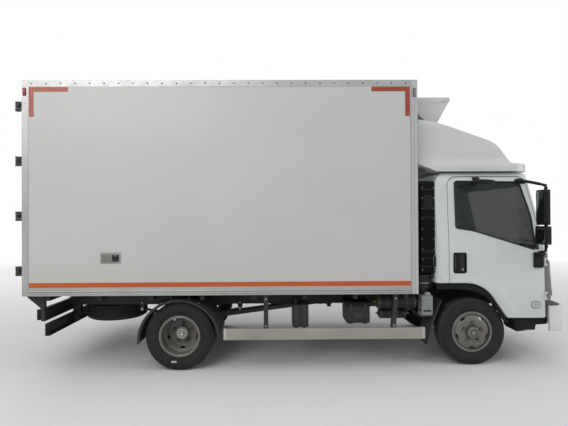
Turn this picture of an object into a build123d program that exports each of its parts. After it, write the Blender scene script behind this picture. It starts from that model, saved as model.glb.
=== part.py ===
"""Refrigerated light truck: cab-over chassis, tilting cab, insulated box and twin rear wheels.

Millimetres. X forward, Y to the left, Z up. The origin is on the ground under the middle of the
overall length. Sides are named as the driver sees them, so the left side has positive Y.
"""
import math
import os

from build123d import *

# Overall layout
WHEELBASE = 3345
FRONT_OVERHANG = 1110
BOX_TAIL = 1716
HINGE_BACK = 60
BARREL_R = 24
REAR_OVERHANG = BOX_TAIL + HINGE_BACK + BARREL_R
OVERALL_LENGTH = WHEELBASE + FRONT_OVERHANG + REAR_OVERHANG
FRONT_AXLE = OVERALL_LENGTH / 2 - FRONT_OVERHANG
REAR_AXLE = FRONT_AXLE - WHEELBASE
SLIP = 0.3
SHUT_GAP = 7

# Wheels, with nuts on the disc and twins side by side
TYRE_R = 380
TYRE_WIDTH = 211
TREAD_WIDTH = 168
BEAD_R = 222
BEAD_WIDTH = 160
FLANGE_R = 233
FLANGE_T = 9
RIM_T = 8
HUB_R = 66
NUT_CIRCLE_R = 104
NUT_R = 15
NUT_LENGTH = 24
FRONT_WHEEL_Y = 840
REAR_WHEEL_Y = 824
TWIN_SPACING = 240

# Ladder frame
RAIL_OUT = 375
RAIL_FLANGE = 65
RAIL_WEB = 8
RAIL_LOW = 610
RAIL_TOP = 790
RAIL_TAIL = 1520
RAIL_NOSE = 900
CROSS_LOW = RAIL_LOW + 20
SPARE_X = -1065
SPARE_Z = 500
KINGPIN_Y = 715
KINGPIN_R = 15
PINION_REACH = 290

# Steering linkage under the front axle, with X measured from the axle
TIE_X = -197
TIE_Y = 655

# Pieces carried beside the frame: X limits from the front axle, Y limits, Z limits, side
BATTERY_BOX = ((-1443, -1175), (560, 900), (482, 718), -1)
RESERVOIR = ((-2073, -1886), (620, 900), (440, 700), -1)
FUEL_TANK = ((-2350, -1450), (480, 930), (420, 740), 1)
BOTTLE = ((-575, -448), (780, 915), (559, 800), -1)
AIR_ARM_Z = 838

# Box body, a gap behind the cab
CAB_REAR = -430
CAB_GAP = 240
BOX_NOSE = WHEELBASE + CAB_REAR - CAB_GAP
BOX_HALF = 1100
BOX_LOW = 852
BOX_TOP = 3242
BOX_SIDE_T = 60
BOX_ROOF_T = 80
BOX_FLOOR_T = 98
BOX_FRONT_T = 80
TRIM_T = 3
REAR_FRAME_DEPTH = 70
DOOR_PLAY = 5
BOTTOM_RAIL_H = 88
TOP_RAIL_H = 72
FRONT_POST_W = 79
HINGE_Y = BOX_HALF - 28
HINGE_PIN_R = 10
HEADER_H = 90
DOORWAY_LOW = BOX_LOW + BOX_FLOOR_T
DOORWAY_TOP = BOX_TOP - HEADER_H
HINGE_LOW = DOORWAY_LOW + 178
HINGE_HIGH = DOORWAY_TOP - 194
HINGE_COUNT = 4
LOCK_BARS_Y = (230, 640)
UNIT_TOP = BOX_TOP - 104
GUARD_Y = (BOX_HALF - 55, BOX_HALF - 22)
GUARD_Z = (348, 471)
GUARD_TAIL = 502
GUARD_NOSE = -596

# Cab, with X measured from the front axle
CAB_HALF = 993
CAB_TOP_HALF = 925
CAB_ROOF = 2235
CAB_BELT = 1300
CAB_BELT_FRONT = 955
SCREEN_RAKE = 0.2845
NOSE_LEAN = 0.07
CAB_WALL = 40
CAB_BACK_LOW = 953
CAB_NOSE_LOW = 755
CAB_SEAM = 2120
FLOOR_LOW = 950
FLOOR_T = 35
DOOR_REAR = -280
DOOR_FRONT = 812
DOOR_TOP = 2170
DOOR_LOW = 553
DOOR_T = 50
DOOR_FRAME_T = 28
GLASS_T = 5
GLASS_DEPTH = 10
TILT_X = 850
TILT_Z = 680
BUMPER_T = 27
BUMPER_Z = (398, 690)
BUMPER_REAR = 858
BUMPER_CORNER_R = 170
TOW_EYE_R = 20
WINDOW = [(-198, 2120, 35), (-197, 1581, 30), (15, 1546, 250), (714, 1325, 25), (671, 1725, 700),
          (553, 2107, 70)]
SEATS = ((200, 740), (-830, -90))
CUSHION_Z = (1270, 1400)
DOOR_SWING_R = 112
OUTSIDE = CAB_HALF + 7

# Steering wheel
STEER_X = 500
STEER_Y = 460
STEER_Z = 1430
STEER_R = 205
STEER_LEAN = 32

# Door hinges and front corners of the cab
CAB_HINGE_HEIGHTS = (800, 1190)
CAB_HINGE_R = 10
CORNER_T = 12
SPOILER_TOP = 2871
SPOILER_FLANGE = 2316


def block(x, y, z):
    """Box between a low and a high limit on each axis."""
    centre = Pos((x[0] + x[1]) / 2, (y[0] + y[1]) / 2, (z[0] + z[1]) / 2)
    return centre * Box(x[1] - x[0], y[1] - y[0], z[1] - z[0])


def outline(plane, corners):
    """Face on a plane from corners given as (a, b) or (a, b, rounding radius)."""
    points = [(corner[0], corner[1]) for corner in corners]
    radii = [corner[2] if len(corner) > 2 else 0 for corner in corners]
    return plane * make_face(FilletPolyline(*points, radius=radii, close=True).edges())


def slab(axis, corners, low, high):
    """Straight prism along an axis; the corners are given in the two other axes, in X, Y, Z order."""
    planes = {
        "x": Plane(origin=(low, 0, 0), x_dir=(0, 1, 0), z_dir=(1, 0, 0)),
        "y": Plane(origin=(0, low, 0), x_dir=(1, 0, 0), z_dir=(0, -1, 0)),
        "z": Plane(origin=(0, 0, low), x_dir=(1, 0, 0), z_dir=(0, 0, 1)),
    }
    direction = {"x": (1, 0, 0), "y": (0, 1, 0), "z": (0, 0, 1)}[axis]
    return extrude(outline(planes[axis], corners), amount=high - low, dir=direction)


def bar(start, end, radius):
    """Round bar between two points."""
    run = Vector(*end) - Vector(*start)
    return extrude(Plane(origin=start, z_dir=run) * Circle(radius), amount=run.length)


def turned(x, z, corners):
    """Solid of revolution about a lateral line; corners are (lateral place, radius)."""
    face = outline(Plane(origin=(x, 0, z), x_dir=(0, 1, 0), z_dir=(1, 0, 0)), corners)
    return revolve(face, axis=Axis((x, 0, z), (0, 1, 0)))


def mirrored(shape):
    """The same shape on the other side of the truck."""
    return mirror(shape, about=Plane.XZ)


def both(shape):
    """A piece and its mirror image."""
    return [shape, mirrored(shape)]


def group(pieces):
    """Several solids that don't touch, as one compound."""
    return Compound(children=[solid for piece in pieces for solid in piece.solids()])


def at_front(x):
    """X in the part's frame of a place measured from the front axle."""
    return FRONT_AXLE + x


def at_rear(x):
    """X in the part's frame of a place measured from the rear axle."""
    return REAR_AXLE + x


def span(place, low, high):
    """Pair of X limits measured from an axle."""
    return place(low), place(high)


# Wheels and tyres

def tyre(x, y, z=TYRE_R):
    """Plain road tyre on a lateral axis."""
    half = TYRE_WIDTH / 2
    tread = TREAD_WIDTH / 2
    bead = BEAD_WIDTH / 2 - SLIP
    corners = [
        (y - bead, BEAD_R + SLIP),
        (y - bead, FLANGE_R + SLIP),
        (y - half, TYRE_R - 78, 60),
        (y - tread, TYRE_R, 24),
        (y + tread, TYRE_R, 24),
        (y + half, TYRE_R - 78, 60),
        (y + bead, FLANGE_R + SLIP),
        (y + bead, BEAD_R + SLIP),
    ]
    return turned(x, z, corners)


def around(x, z, radius, count, start=90):
    """Places on a circle about a lateral line, as (x, z, angle)."""
    for index in range(count):
        angle = math.radians(start + 360 * index / count)
        yield x + radius * math.cos(angle), z + radius * math.sin(angle), math.degrees(angle)


def nuts(x, z, low, high):
    """Ring of wheel nuts along the lateral axis."""
    return [bar((px, low, pz), (px, high, pz), NUT_R) for px, pz, _ in around(x, z, NUT_CIRCLE_R, 5)]


def hand_holes(x, z, radius, length, width, low, high):
    """Ring of rounded slots through a wheel disc."""
    slots = []
    for px, pz, angle in around(x, z, radius, 5, 54):
        shape = Plane(origin=(px, low, pz), x_dir=(1, 0, 0), z_dir=(0, -1, 0)) * (
            Rot(0, 0, angle + 90) * SlotOverall(length, width))
        slots.append(extrude(shape, amount=high - low, dir=(0, 1, 0)))
    return slots


def barrel_corners(centre):
    """Outer half of a rim's section, from one flange to the other."""
    edge = BEAD_WIDTH / 2
    return [
        (centre - edge - FLANGE_T, BEAD_R - RIM_T),
        (centre - edge - FLANGE_T, FLANGE_R, 3),
        (centre - edge, FLANGE_R, 3),
        (centre - edge, BEAD_R),
        (centre + edge, BEAD_R),
        (centre + edge, FLANGE_R, 3),
        (centre + edge + FLANGE_T, FLANGE_R, 3),
        (centre + edge + FLANGE_T, BEAD_R - RIM_T),
    ]


def front_rim():
    """Left front rim with its disc, hub and drum; the disc bulges outwards."""
    x, z, y = FRONT_AXLE, TYRE_R, FRONT_WHEEL_Y
    inner = BEAD_R - RIM_T
    rim = turned(x, z, barrel_corners(y))
    disc = turned(x, z, [
        (y + 46, inner), (y + 76, 196, 20), (y + 96, 150, 60), (y + 96, 25),
        (y + 60, 25), (y + 60, 90), (y + 86, 120, 20), (y + 86, 150, 50), (y + 68, 190, 20),
        (y + 38, inner)])
    hub = turned(x, z, [
        (y + 50, 30 + SLIP), (y + 50, 20), (y + 142, 20), (y + 142, 48, 10), (y + 134, HUB_R, 4),
        (y + 90, HUB_R),
        (y + 62, 90), (y - 20, 90), (y - 20, 160), (y - 62, 160), (y - 62, 150), (y - 32, 150), (y - 32, 80),
        (y - 62, 80), (y - 62, 30 + SLIP)])
    solid = rim + disc + hub
    for slot in hand_holes(x, z, 178, 62, 22, y + 30, y + 120):
        solid -= slot
    for nut in nuts(x, z, y + 90, y + 96 + NUT_LENGTH):
        solid += nut
    return solid


def rear_rim():
    """Left pair of rear rims with their dished discs, hub and drum."""
    x, z, y = REAR_AXLE, TYRE_R, REAR_WHEEL_Y
    inner = BEAD_R - RIM_T
    half = TWIN_SPACING / 2
    solid = turned(x, z, barrel_corners(y - half)) + turned(x, z, barrel_corners(y + half))
    solid += turned(x, z, [
        (y, 60), (y + 8, 60), (y + 8, 150, 30), (y + 62, 196, 20), (y + 66, inner), (y + 56, inner),
        (y + 50, 200, 20),
        (y, 160, 20)])
    solid += turned(x, z, [
        (y, 60), (y, 158, 20), (y - 50, 200, 20), (y - 56, inner), (y - 66, inner), (y - 62, 196, 20),
        (y - 8, 150, 30),
        (y - 8, 60)])
    solid += turned(x, z, [
        (y + 84, 20), (y + 84, 52), (y + 76, 76, 4), (y + 30, 76), (y + 30, 70), (y - 60, 70), (y - 60, 165),
        (y - 205, 165), (y - 205, 155), (y - 80, 155), (y - 80, 62), (y - 200, 62), (y - 200, 35 + SLIP),
        (y + 40, 35 + SLIP), (y + 40, 20)])
    for slot in hand_holes(x, z, 172, 54, 22, y - 90, y + 90):
        solid -= slot
    for nut in nuts(x, z, y + 6, y + 8 + NUT_LENGTH):
        solid += nut
    return solid


def spare_tyre():
    """Spare tyre lying flat under the tail of the frame."""
    return Pos(at_rear(SPARE_X), 0, SPARE_Z) * (Rot(90, 0, 0) * tyre(0, 0, 0))


def spare_rim():
    """Rim of the spare, with the winch rod and its plate."""
    rim = turned(0, 0, barrel_corners(0))
    disc = turned(0, 0, [(20, 12), (28, 12), (28, 150, 20), (6, BEAD_R - RIM_T), (-2, BEAD_R - RIM_T),
                         (20, 150, 20)])
    x = at_rear(SPARE_X)
    flat = Pos(x, 0, SPARE_Z) * (Rot(90, 0, 0) * (rim + disc))
    plate = bar((x, 0, SPARE_Z - 34), (x, 0, SPARE_Z - 20), 60)
    return flat + plate + bar((x, 0, SPARE_Z - 30), (x, 0, CROSS_LOW), 13)


# Chassis

def rails():
    """Two channel rails, open towards each other."""
    x = (at_rear(-RAIL_TAIL), at_front(RAIL_NOSE))
    rail = block(x, (RAIL_OUT - RAIL_FLANGE, RAIL_OUT), (RAIL_LOW, RAIL_TOP))
    hollow = block(x, (RAIL_OUT - RAIL_FLANGE, RAIL_OUT - RAIL_WEB),
                   (RAIL_LOW + RAIL_WEB, RAIL_TOP - RAIL_WEB))
    return group(both(rail - hollow))


def cross_members():
    """Cross members between the rails' webs, in the rails' channels."""
    places = [at_rear(-1480), at_rear(SPARE_X), at_rear(-420), at_rear(420), at_rear(1150), at_front(-1700),
              at_front(840)]
    width = RAIL_OUT - RAIL_WEB
    return group([block((x - 30, x + 30), (-width, width),
                        (CROSS_LOW, RAIL_TOP - RAIL_WEB)) for x in places])


def cross_bearers():
    """Bearers between the frame and the floor of the box."""
    count = 8
    first, last = at_rear(-BOX_TAIL + 250), at_rear(BOX_NOSE - 120)
    pieces = []
    for index in range(count):
        x = first + (last - first) * index / (count - 1)
        pieces.append(block((x - 25, x + 25), (BOX_SIDE_T - BOX_HALF, BOX_HALF - BOX_SIDE_T),
                            (RAIL_TOP, BOX_LOW)))
    return group(pieces)


def front_axle():
    """Forged front beam with a dropped middle and an eye for each kingpin."""
    corners = [
        (-700, 415), (-560, 415, 60), (-480, 370, 60), (480, 370, 60), (560, 415, 60), (700, 415),
        (700, 345), (600, 345, 60), (500, 300, 60), (-500, 300, 60), (-600, 345, 60), (-700, 345)]
    beam = slab("x", corners, at_front(-30), at_front(30))
    for side in (-1, 1):
        beam += bar((FRONT_AXLE, side * KINGPIN_Y, 345), (FRONT_AXLE, side * KINGPIN_Y, 415), 24)
        beam += block(span(at_front, -20, 20), sorted((side * 690, side * KINGPIN_Y)), (345, 415))
        beam += block(span(at_front, -50, 50), sorted((side * 305, side * 380)), (370, 400))
    for side in (-1, 1):
        beam -= bar((FRONT_AXLE, side * KINGPIN_Y, 300), (FRONT_AXLE, side * KINGPIN_Y, 450),
                    KINGPIN_R + SLIP)
        beam -= block(span(at_front, -40, 40), sorted((side * (KINGPIN_Y - 14), side * 700)), (300, 344))
    return beam


def rear_axle():
    """Banjo housing with its spindles, backing plates and pinion nose."""
    z = TYRE_R
    housing = bar((REAR_AXLE, -600, z), (REAR_AXLE, 600, z), 58)
    housing += bar((REAR_AXLE, -860, z), (REAR_AXLE, 860, z), 35)
    housing += Pos(REAR_AXLE, 0, z) * Sphere(165)
    housing += bar((REAR_AXLE, 0, z + 20), (at_rear(PINION_REACH), 0, z + 20), 70)
    for side in (-1, 1):
        housing += bar((REAR_AXLE, side * 596, z), (REAR_AXLE, side * 604, z), 160)
        housing += block(span(at_rear, -55, 55), sorted((side * 305, side * 380)), (z + 20, 450))
    return housing


def leaf_spring(place, z_seat, half, rise):
    """Stack of three leaves that curves up from its seat to two eyes."""
    leaf_t = 13
    stack = None
    for index, share in enumerate((1.0, 0.78, 0.5)):
        reach = half * share
        low = z_seat + (2 - index) * leaf_t
        lift = rise * share * share
        under = ThreePointArc((-reach, low + lift), (0, low), (reach, low + lift))
        over = ThreePointArc((-reach, low + lift + leaf_t + 0.2), (0, low + leaf_t + 0.2),
                             (reach, low + lift + leaf_t + 0.2))
        ends = [Line(under @ 0, over @ 0), Line(under @ 1, over @ 1)]
        face = make_face([under, over, *ends])
        plane = Plane(origin=(place, RAIL_OUT - RAIL_FLANGE, 0), x_dir=(1, 0, 0), z_dir=(0, -1, 0))
        leaf = extrude(plane * face, amount=RAIL_FLANGE, dir=(0, 1, 0))
        stack = leaf if stack is None else stack + leaf
    for side in (-1, 1):
        centre = z_seat + 2 * leaf_t + rise + leaf_t / 2
        eye = bar((place + side * half, RAIL_OUT - RAIL_FLANGE, centre),
                  (place + side * half, RAIL_OUT, centre), 22)
        stack += eye
    return stack


def springs():
    """Leaf springs under the rails, on the axles' seats."""
    front = leaf_spring(FRONT_AXLE, 400, 560, 110)
    rear = leaf_spring(REAR_AXLE, 450, 620, 70)
    return group(both(front) + both(rear))


def spring_hangers():
    """Hanger or shackle between each spring eye and the rail."""
    pieces = []
    for place, half, z in ((FRONT_AXLE, 560, 542.5), (REAR_AXLE, 620, 552.5)):
        for side in (-1, 1):
            x = place + side * half
            plate = block((x - 28, x + 28), (RAIL_OUT - RAIL_FLANGE, RAIL_OUT), (z + 22 + SLIP, RAIL_LOW))
            cheek = block((x - 20, x + 20), (RAIL_OUT + SLIP, RAIL_OUT + 8), (z - 20, RAIL_LOW + 40))
            pieces += both(plate + cheek + block((x - 20, x + 20), (RAIL_OUT - 10, RAIL_OUT + 8),
                                                 (z + 23, RAIL_LOW)))
    return group(pieces)


def engine():
    """Engine and gearbox as one plain block, carried by lugs on the rails."""
    inner = RAIL_OUT - RAIL_WEB
    body = block(span(at_front, -480, 520), (-270, 270), (480, 900))
    body += block(span(at_front, -1120, -480), (-170, 170), (520, 780))
    for x in (-380, 380):
        body += block(span(at_front, x - 40, x + 40), (-inner, inner), (640, 700))
    return body


def propeller_shaft():
    """Tubular shaft from the gearbox down to the rear axle's pinion, with its end flanges."""
    front = (at_front(-1120), 0, 640)
    rear = (at_rear(PINION_REACH), 0, TYRE_R + 20)
    body = bar((front[0] - 60, 0, front[2]), (front[0] - SLIP, 0, front[2]), 60)
    body += bar((rear[0] + SLIP, 0, rear[2]), (rear[0] + 60, 0, rear[2]), 60)
    body += bar((front[0] - 40, 0, front[2]), (rear[0] + 40, 0, rear[2]), 40)
    return body


def bracket(x, y_out, z_arm, side):
    """Angle bracket from a rail's outer face to under a piece beside the frame."""
    plate = block(x, (RAIL_OUT, RAIL_OUT + 8), (z_arm - 12, RAIL_LOW + 60))
    arm = block(x, (RAIL_OUT, y_out), (z_arm - 12, z_arm))
    piece = plate + arm
    return piece if side > 0 else mirrored(piece)


def carried_box(limits, radius):
    """Box with rounded edges beside the frame."""
    x, y, z, side = limits
    corners = [(y[0], z[0], radius), (y[1], z[0], radius), (y[1], z[1], radius), (y[0], z[1], radius)]
    piece = slab("x", corners, at_front(x[0]), at_front(x[1]))
    return piece if side > 0 else mirrored(piece)


def side_brackets():
    """Two brackets under each piece carried beside the frame."""
    pieces = []
    for x, y, z, side in (BATTERY_BOX, RESERVOIR, FUEL_TANK, BOTTLE):
        low, high = at_front(x[0]), at_front(x[1])
        width = min(50, (high - low) / 4)
        for start in (low + width / 2, high - 1.5 * width):
            pieces.append(bracket((start, start + width), y[1] - 20, z[0], side))
    return group(pieces)


def battery_box():
    """Battery box on the right."""
    return carried_box(BATTERY_BOX, 12)


def reservoir():
    """Small tank with a filler cap on the right."""
    x, y, z, side = RESERVOIR
    cap_x = at_front(x[0] + 40)
    cap_y = side * (y[0] + 200)
    return carried_box(RESERVOIR, 15) + bar((cap_x, cap_y, z[1] - 5), (cap_x, cap_y, z[1] + 60), 26)


def fuel_tank():
    """Fuel tank on the left."""
    x, y, z, side = FUEL_TANK
    cap_x = at_front(x[0] + 120)
    neck = bar((cap_x, y[1] - 110, z[1] - 5), (cap_x, y[1] - 110, z[1] + 35), 38)
    return carried_box(FUEL_TANK, 45) + neck


def coolant_bottle():
    """Translucent bottle with a round cap on the right, behind the front wheel."""
    x, y, z, side = BOTTLE
    cap_x = at_front((x[0] + x[1]) / 2 + 20)
    cap_y = side * (y[0] + 75)
    return carried_box(BOTTLE, 30) + bar((cap_x, cap_y, z[1] - 5), (cap_x, cap_y, z[1] + 30), 28)


def air_tanks():
    """Two round tanks along the right rail, each with a saddle to the rail."""
    pieces = []
    for low, high, y, z, radius in ((-1057, -623, 770, 706, 80), (-1000, -700, 640, 540, 62)):
        tank = bar((at_front(low), -y, z), (at_front(high), -y, z), radius)
        for x in (low + 80, high - 120):
            saddle = block(span(at_front, x, x + 40), (-y, -RAIL_OUT),
                           (max(z - 20, RAIL_LOW), max(z - 20, RAIL_LOW) + 24))
            if z < RAIL_LOW:
                saddle = block(span(at_front, x, x + 40), (-y, -RAIL_OUT), (z + 10, z + 34))
                saddle += block(span(at_front, x, x + 40), (-RAIL_OUT - 8, -RAIL_OUT),
                                (z + 10, RAIL_LOW + 40))
            tank += saddle
        pieces.append(tank)
    return group(pieces)


def silencer():
    """Exhaust silencer on the left with its pipe from the engine and its tail pipe."""
    y, z = 660, 560
    drum = bar((at_front(-1250), y, z), (at_front(-720), y, z), 115)
    inlet = bar((at_front(-740), y, z), (at_front(-560), y, z), 32)
    inlet += Pos(at_front(-560), y, z) * Sphere(32)
    inlet += bar((at_front(-560), y, z), (at_front(-430), 380, z), 32)
    inlet += Pos(at_front(-430), 380, z) * Sphere(32)
    inlet += bar((at_front(-430), 380, z), (at_front(-430), 270 + SLIP, z), 32)
    tail = bar((at_front(-1240), y, z), (at_front(-1300), y, z), 32)
    tail += Pos(at_front(-1300), y, z) * Sphere(32)
    tail += bar((at_front(-1300), y, z), (at_front(-1380), 980, z - 40), 32)
    strap = block(span(at_front, -1010, -960), (RAIL_OUT, y), (RAIL_LOW + 10, RAIL_LOW + 30))
    return drum + inlet + tail + strap


def air_filter():
    """Air filter housing behind the cab on the right, with its arm to the rail."""
    x, y = at_front(-535), -840
    housing = bar((x, y, 880), (x, y, 1040), 88)
    arm = block((x - 30, x + 30), (y - 30, -RAIL_OUT + 45), (AIR_ARM_Z, AIR_ARM_Z + 20))
    foot = block((x - 30, x + 30), (-RAIL_OUT, -RAIL_OUT + 45), (RAIL_TOP, AIR_ARM_Z + 10))
    return housing + arm + foot + block((x - 30, x + 30), (y - 30, y + 30), (AIR_ARM_Z, 885))


def side_guards():
    """Side guard rail with two posts up to the floor of the box, on each side."""
    tail, nose = at_rear(GUARD_TAIL), at_front(GUARD_NOSE)
    rail = block((tail, nose), GUARD_Y, GUARD_Z)
    hollow = block((tail - 2, nose + 2), (GUARD_Y[0] - 1, GUARD_Y[1] - 6), (GUARD_Z[0] + 6, GUARD_Z[1] - 6))
    piece = rail - hollow
    for x, lean in ((tail + 448, 0), (nose - 379, 40)):
        corners = [(x, GUARD_Z[0] + 20), (x + 45, GUARD_Z[0] + 20), (x + 45 + lean, BOX_LOW),
                   (x + lean, BOX_LOW)]
        piece += slab("y", corners, GUARD_Y[0] - 32, GUARD_Y[1] - 6)
    return group(both(piece))


def arc_sheet(x, z, radius, thickness, start, stop, y):
    """Bent sheet about a lateral line between two angles."""
    angles = [math.radians(a) for a in (start, (start + stop) / 2, stop)]
    inner = [(x + radius * math.cos(a), z + radius * math.sin(a)) for a in angles]
    outer = [(x + (radius + thickness) * math.cos(a),
              z + (radius + thickness) * math.sin(a)) for a in angles]
    lines = [ThreePointArc(*inner), ThreePointArc(*outer), Line(inner[0], outer[0]),
             Line(inner[2], outer[2])]
    plane = Plane(origin=(0, y[0], 0), x_dir=(1, 0, 0), z_dir=(0, -1, 0))
    return extrude(plane * make_face(lines), amount=y[1] - y[0], dir=(0, 1, 0))


def rear_mudguards():
    """Mudguard over each pair of rear wheels, hung from the floor of the box."""
    guard = arc_sheet(REAR_AXLE, 338, 455, 5, 10, 184, (590, 1075))
    guard += arc_sheet(REAR_AXLE, 338, 435, 25, 10, 184, (1070, 1075))
    top = 338 + 455
    for x in (-120, 90):
        guard += block(span(at_rear, x, x + 30), (700, 730), (top - 12, BOX_LOW))
        guard += block(span(at_rear, x, x + 30), (980, 1010), (top - 12, BOX_LOW))
    return group(both(guard))


def front_flaps():
    """Rear half of each front wheel arch with its rubber flap, on an arm from the rail."""
    corners = [(at_front(-352), 748), (at_front(-475), 430), (at_front(-520), 232), (at_front(-530), 235),
               (at_front(-485), 433), (at_front(-362), 752)]
    flap = slab("y", corners, 620, 940)
    flap += block(span(at_front, -420, -396), (RAIL_OUT, 640), (640, 664))
    return group(both(flap))


def underrun_bar():
    """Rear underrun beam on two legs from the rails."""
    beam = block(span(at_rear, -1505, -1455), (-1020, 1020), (394, 530))
    beam -= block(span(at_rear, -1499, -1440), (-1014, 1014), (400, 524))
    for side in (-1, 1):
        legs = sorted((side * (RAIL_OUT - RAIL_FLANGE), side * RAIL_OUT))
        beam += block(span(at_rear, -1499, -1400), legs, (500, RAIL_LOW))
        beam += block(span(at_rear, -1499, -1440), legs, (400, 505))
    return beam


def lamp_bar():
    """Rear lamp bar across the rails' ends, with a gusset at each end up to the box."""
    bar_x = (-RAIL_TAIL - 40, -RAIL_TAIL)
    piece = block(span(at_rear, *bar_x), (-1000, 1000), (552, 695))
    for side in (-1, 1):
        corners = [(at_rear(-BOX_TAIL), BOX_LOW), (at_rear(-BOX_TAIL), 826), (at_rear(bar_x[0]), 695),
                   (at_rear(bar_x[1]), 695), (at_rear(bar_x[1]), BOX_LOW)]
        piece += slab("y", corners, *sorted((side * 960, side * 1000)))
    return piece


def rear_lamps():
    """Lamp cluster at each end of the lamp bar."""
    x = at_rear(-RAIL_TAIL - 40)
    corners = [(700, 566, 10), (985, 566, 10), (985, 682, 10), (700, 682, 10)]
    return group(both(slab("x", corners, x - 36, x)))


def bumper_form(inset, low, high):
    """Filled plan shape of the bumper."""
    i = inset
    front = FRONT_OVERHANG - i
    half = 1002 - i
    corners = [
        (at_front(BUMPER_REAR), -half), (at_front(1065) - i, -half, BUMPER_CORNER_R - i),
        (at_front(0) + front, -520, 2200),
        (at_front(0) + front, 520, 2200), (at_front(1065) - i, half, BUMPER_CORNER_R - i),
        (at_front(BUMPER_REAR), half)]
    return slab("z", corners, low, high)


def bumper():
    """Front bumper: a deep shell round the nose, open behind."""
    low, high = BUMPER_Z
    shell = bumper_form(0, low, high) - bumper_form(BUMPER_T, low - 10, high + 10)
    return shell - block(span(at_front, 1000, 1200), (-300, 300), (500, 590))


def nose_brackets():
    """Bumper brackets under the rails, each with a tow eye below the bumper, and the cab's pivot blocks."""
    pieces = []
    inner = RAIL_OUT - RAIL_FLANGE
    arm = block(span(at_front, 640, FRONT_OVERHANG - BUMPER_T), (inner, RAIL_OUT), (450, RAIL_LOW))
    arm += block(span(at_front, 860, 1000), (inner + 20, inner + 40), (290, 460))
    arm -= bar((at_front(940), inner, 335), (at_front(940), RAIL_OUT, 335), TOW_EYE_R)
    pieces += both(arm)
    pivot = block(span(at_front, TILT_X - 45, TILT_X + 45), (RAIL_OUT, RAIL_OUT + 40),
                  (TILT_Z - 60, TILT_Z + 50))
    pivot -= bar((at_front(TILT_X), RAIL_OUT - 1, TILT_Z), (at_front(TILT_X), RAIL_OUT + 41, TILT_Z),
                 20 + SLIP)
    pieces += both(pivot)
    return group(pieces)


def cab_rest():
    """Cross piece over the rails that the tilting cab comes down on."""
    hoop = block(span(at_front, -400, -340), (-RAIL_OUT, RAIL_OUT), (905, FLOOR_LOW - SLIP))
    for side in (-1, 1):
        hoop += block(span(at_front, -400, -340), sorted((side * 320, side * RAIL_OUT)), (RAIL_TOP, 910))
    return hoop


# Steering

def knuckle():
    """Left knuckle: two lugs round the beam's eye, kingpin, spindle, backing plate and steering arm."""
    x, y, z = FRONT_AXLE, KINGPIN_Y, TYRE_R
    body = bar((x, y, 420), (x, y, 450), 34)
    body += bar((x, y, 310), (x, y, 340), 34)
    body += bar((x, y, 312), (x, y, 448), KINGPIN_R)
    body += block((x - 40, x + 40), (y + 30, y + 52), (310, 450))
    for low, high in ((420, 450), (310, 340)):
        body += block((x - 34, x + 34), (y, y + 40), (low, high))
    body += bar((x, y + 45, z), (x, FRONT_WHEEL_Y + 46, z), 30)
    body += bar((x, y + 52, z), (x, y + 60, z), 148)
    arm = [(x - 20, y + 20, 6), (x + 20, y + 20, 6), (x + 8, y - 20, 6), (x - 175, y - 55, 10),
           (x - 190, y - 95, 10),
           (x - 215, y - 70, 10), (x - 200, y - 30, 10)]
    body += slab("z", arm, 312, 332)
    return body


def tie_rod():
    """Tie rod behind the front axle, just under the ends of the two steering arms."""
    x = at_front(TIE_X)
    rod = bar((x, -TIE_Y, 292), (x, TIE_Y, 292), 15)
    for side in (-1, 1):
        rod += bar((x, side * TIE_Y, 274), (x, side * TIE_Y, 312 - SLIP), 22)
    return rod


# Box body

def box_x():
    """X limits of the walls between the rear frame and the nose of the box."""
    return at_rear(-BOX_TAIL) + REAR_FRAME_DEPTH, at_rear(BOX_NOSE) - TRIM_T


def box_floor():
    """Insulated floor."""
    inner = BOX_HALF - BOX_SIDE_T
    x0, x1 = box_x()
    return block((x0, x1 - BOX_FRONT_T), (-inner, inner), (BOX_LOW, DOORWAY_LOW))


def box_side():
    """Left insulated wall."""
    return block(box_x(), (BOX_HALF - BOX_SIDE_T, BOX_HALF - TRIM_T), (BOX_LOW, BOX_TOP - TRIM_T))


def box_front():
    """Insulated front wall."""
    inner = BOX_HALF - BOX_SIDE_T
    nose = box_x()[1]
    return block((nose - BOX_FRONT_T, nose), (-inner, inner), (BOX_LOW, BOX_TOP - BOX_ROOF_T))


def box_roof():
    """Insulated roof."""
    inner = BOX_HALF - BOX_SIDE_T
    return block(box_x(), (-inner, inner), (BOX_TOP - BOX_ROOF_T, BOX_TOP - TRIM_T))


def hinge_heights():
    """Heights of the rear doors' hinges, evenly spaced."""
    step = (HINGE_HIGH - HINGE_LOW) / (HINGE_COUNT - 1)
    return [HINGE_LOW + index * step for index in range(HINGE_COUNT)]


def rear_posts():
    """Posts of the rear door frame with the fixed halves of the hinges."""
    tail = at_rear(-BOX_TAIL)
    post = block((tail, tail + REAR_FRAME_DEPTH), (BOX_HALF - BOX_SIDE_T, BOX_HALF), (BOX_LOW, BOX_TOP))
    x, y = tail - HINGE_BACK, HINGE_Y
    for z in hinge_heights():
        for low, high in ((z - 52, z - 26), (z + 26, z + 52)):
            leaf = bar((x, y, low), (x, y, high), BARREL_R)
            leaf += block((x, tail), (y - 10, y + 12), (low, high))
            leaf -= bar((x, y, low - 1), (x, y, high + 1), HINGE_PIN_R + SLIP)
            post += leaf
    return group(both(post))


def rear_crossbars():
    """Header and sill of the rear door frame."""
    tail = at_rear(-BOX_TAIL)
    x = (tail, tail + REAR_FRAME_DEPTH)
    inner = BOX_HALF - BOX_SIDE_T - SLIP
    header = block(x, (-inner, inner), (DOORWAY_TOP, BOX_TOP))
    sill = block(x, (-inner, inner), (BOX_LOW, DOORWAY_LOW))
    return group([header, sill])


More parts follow.
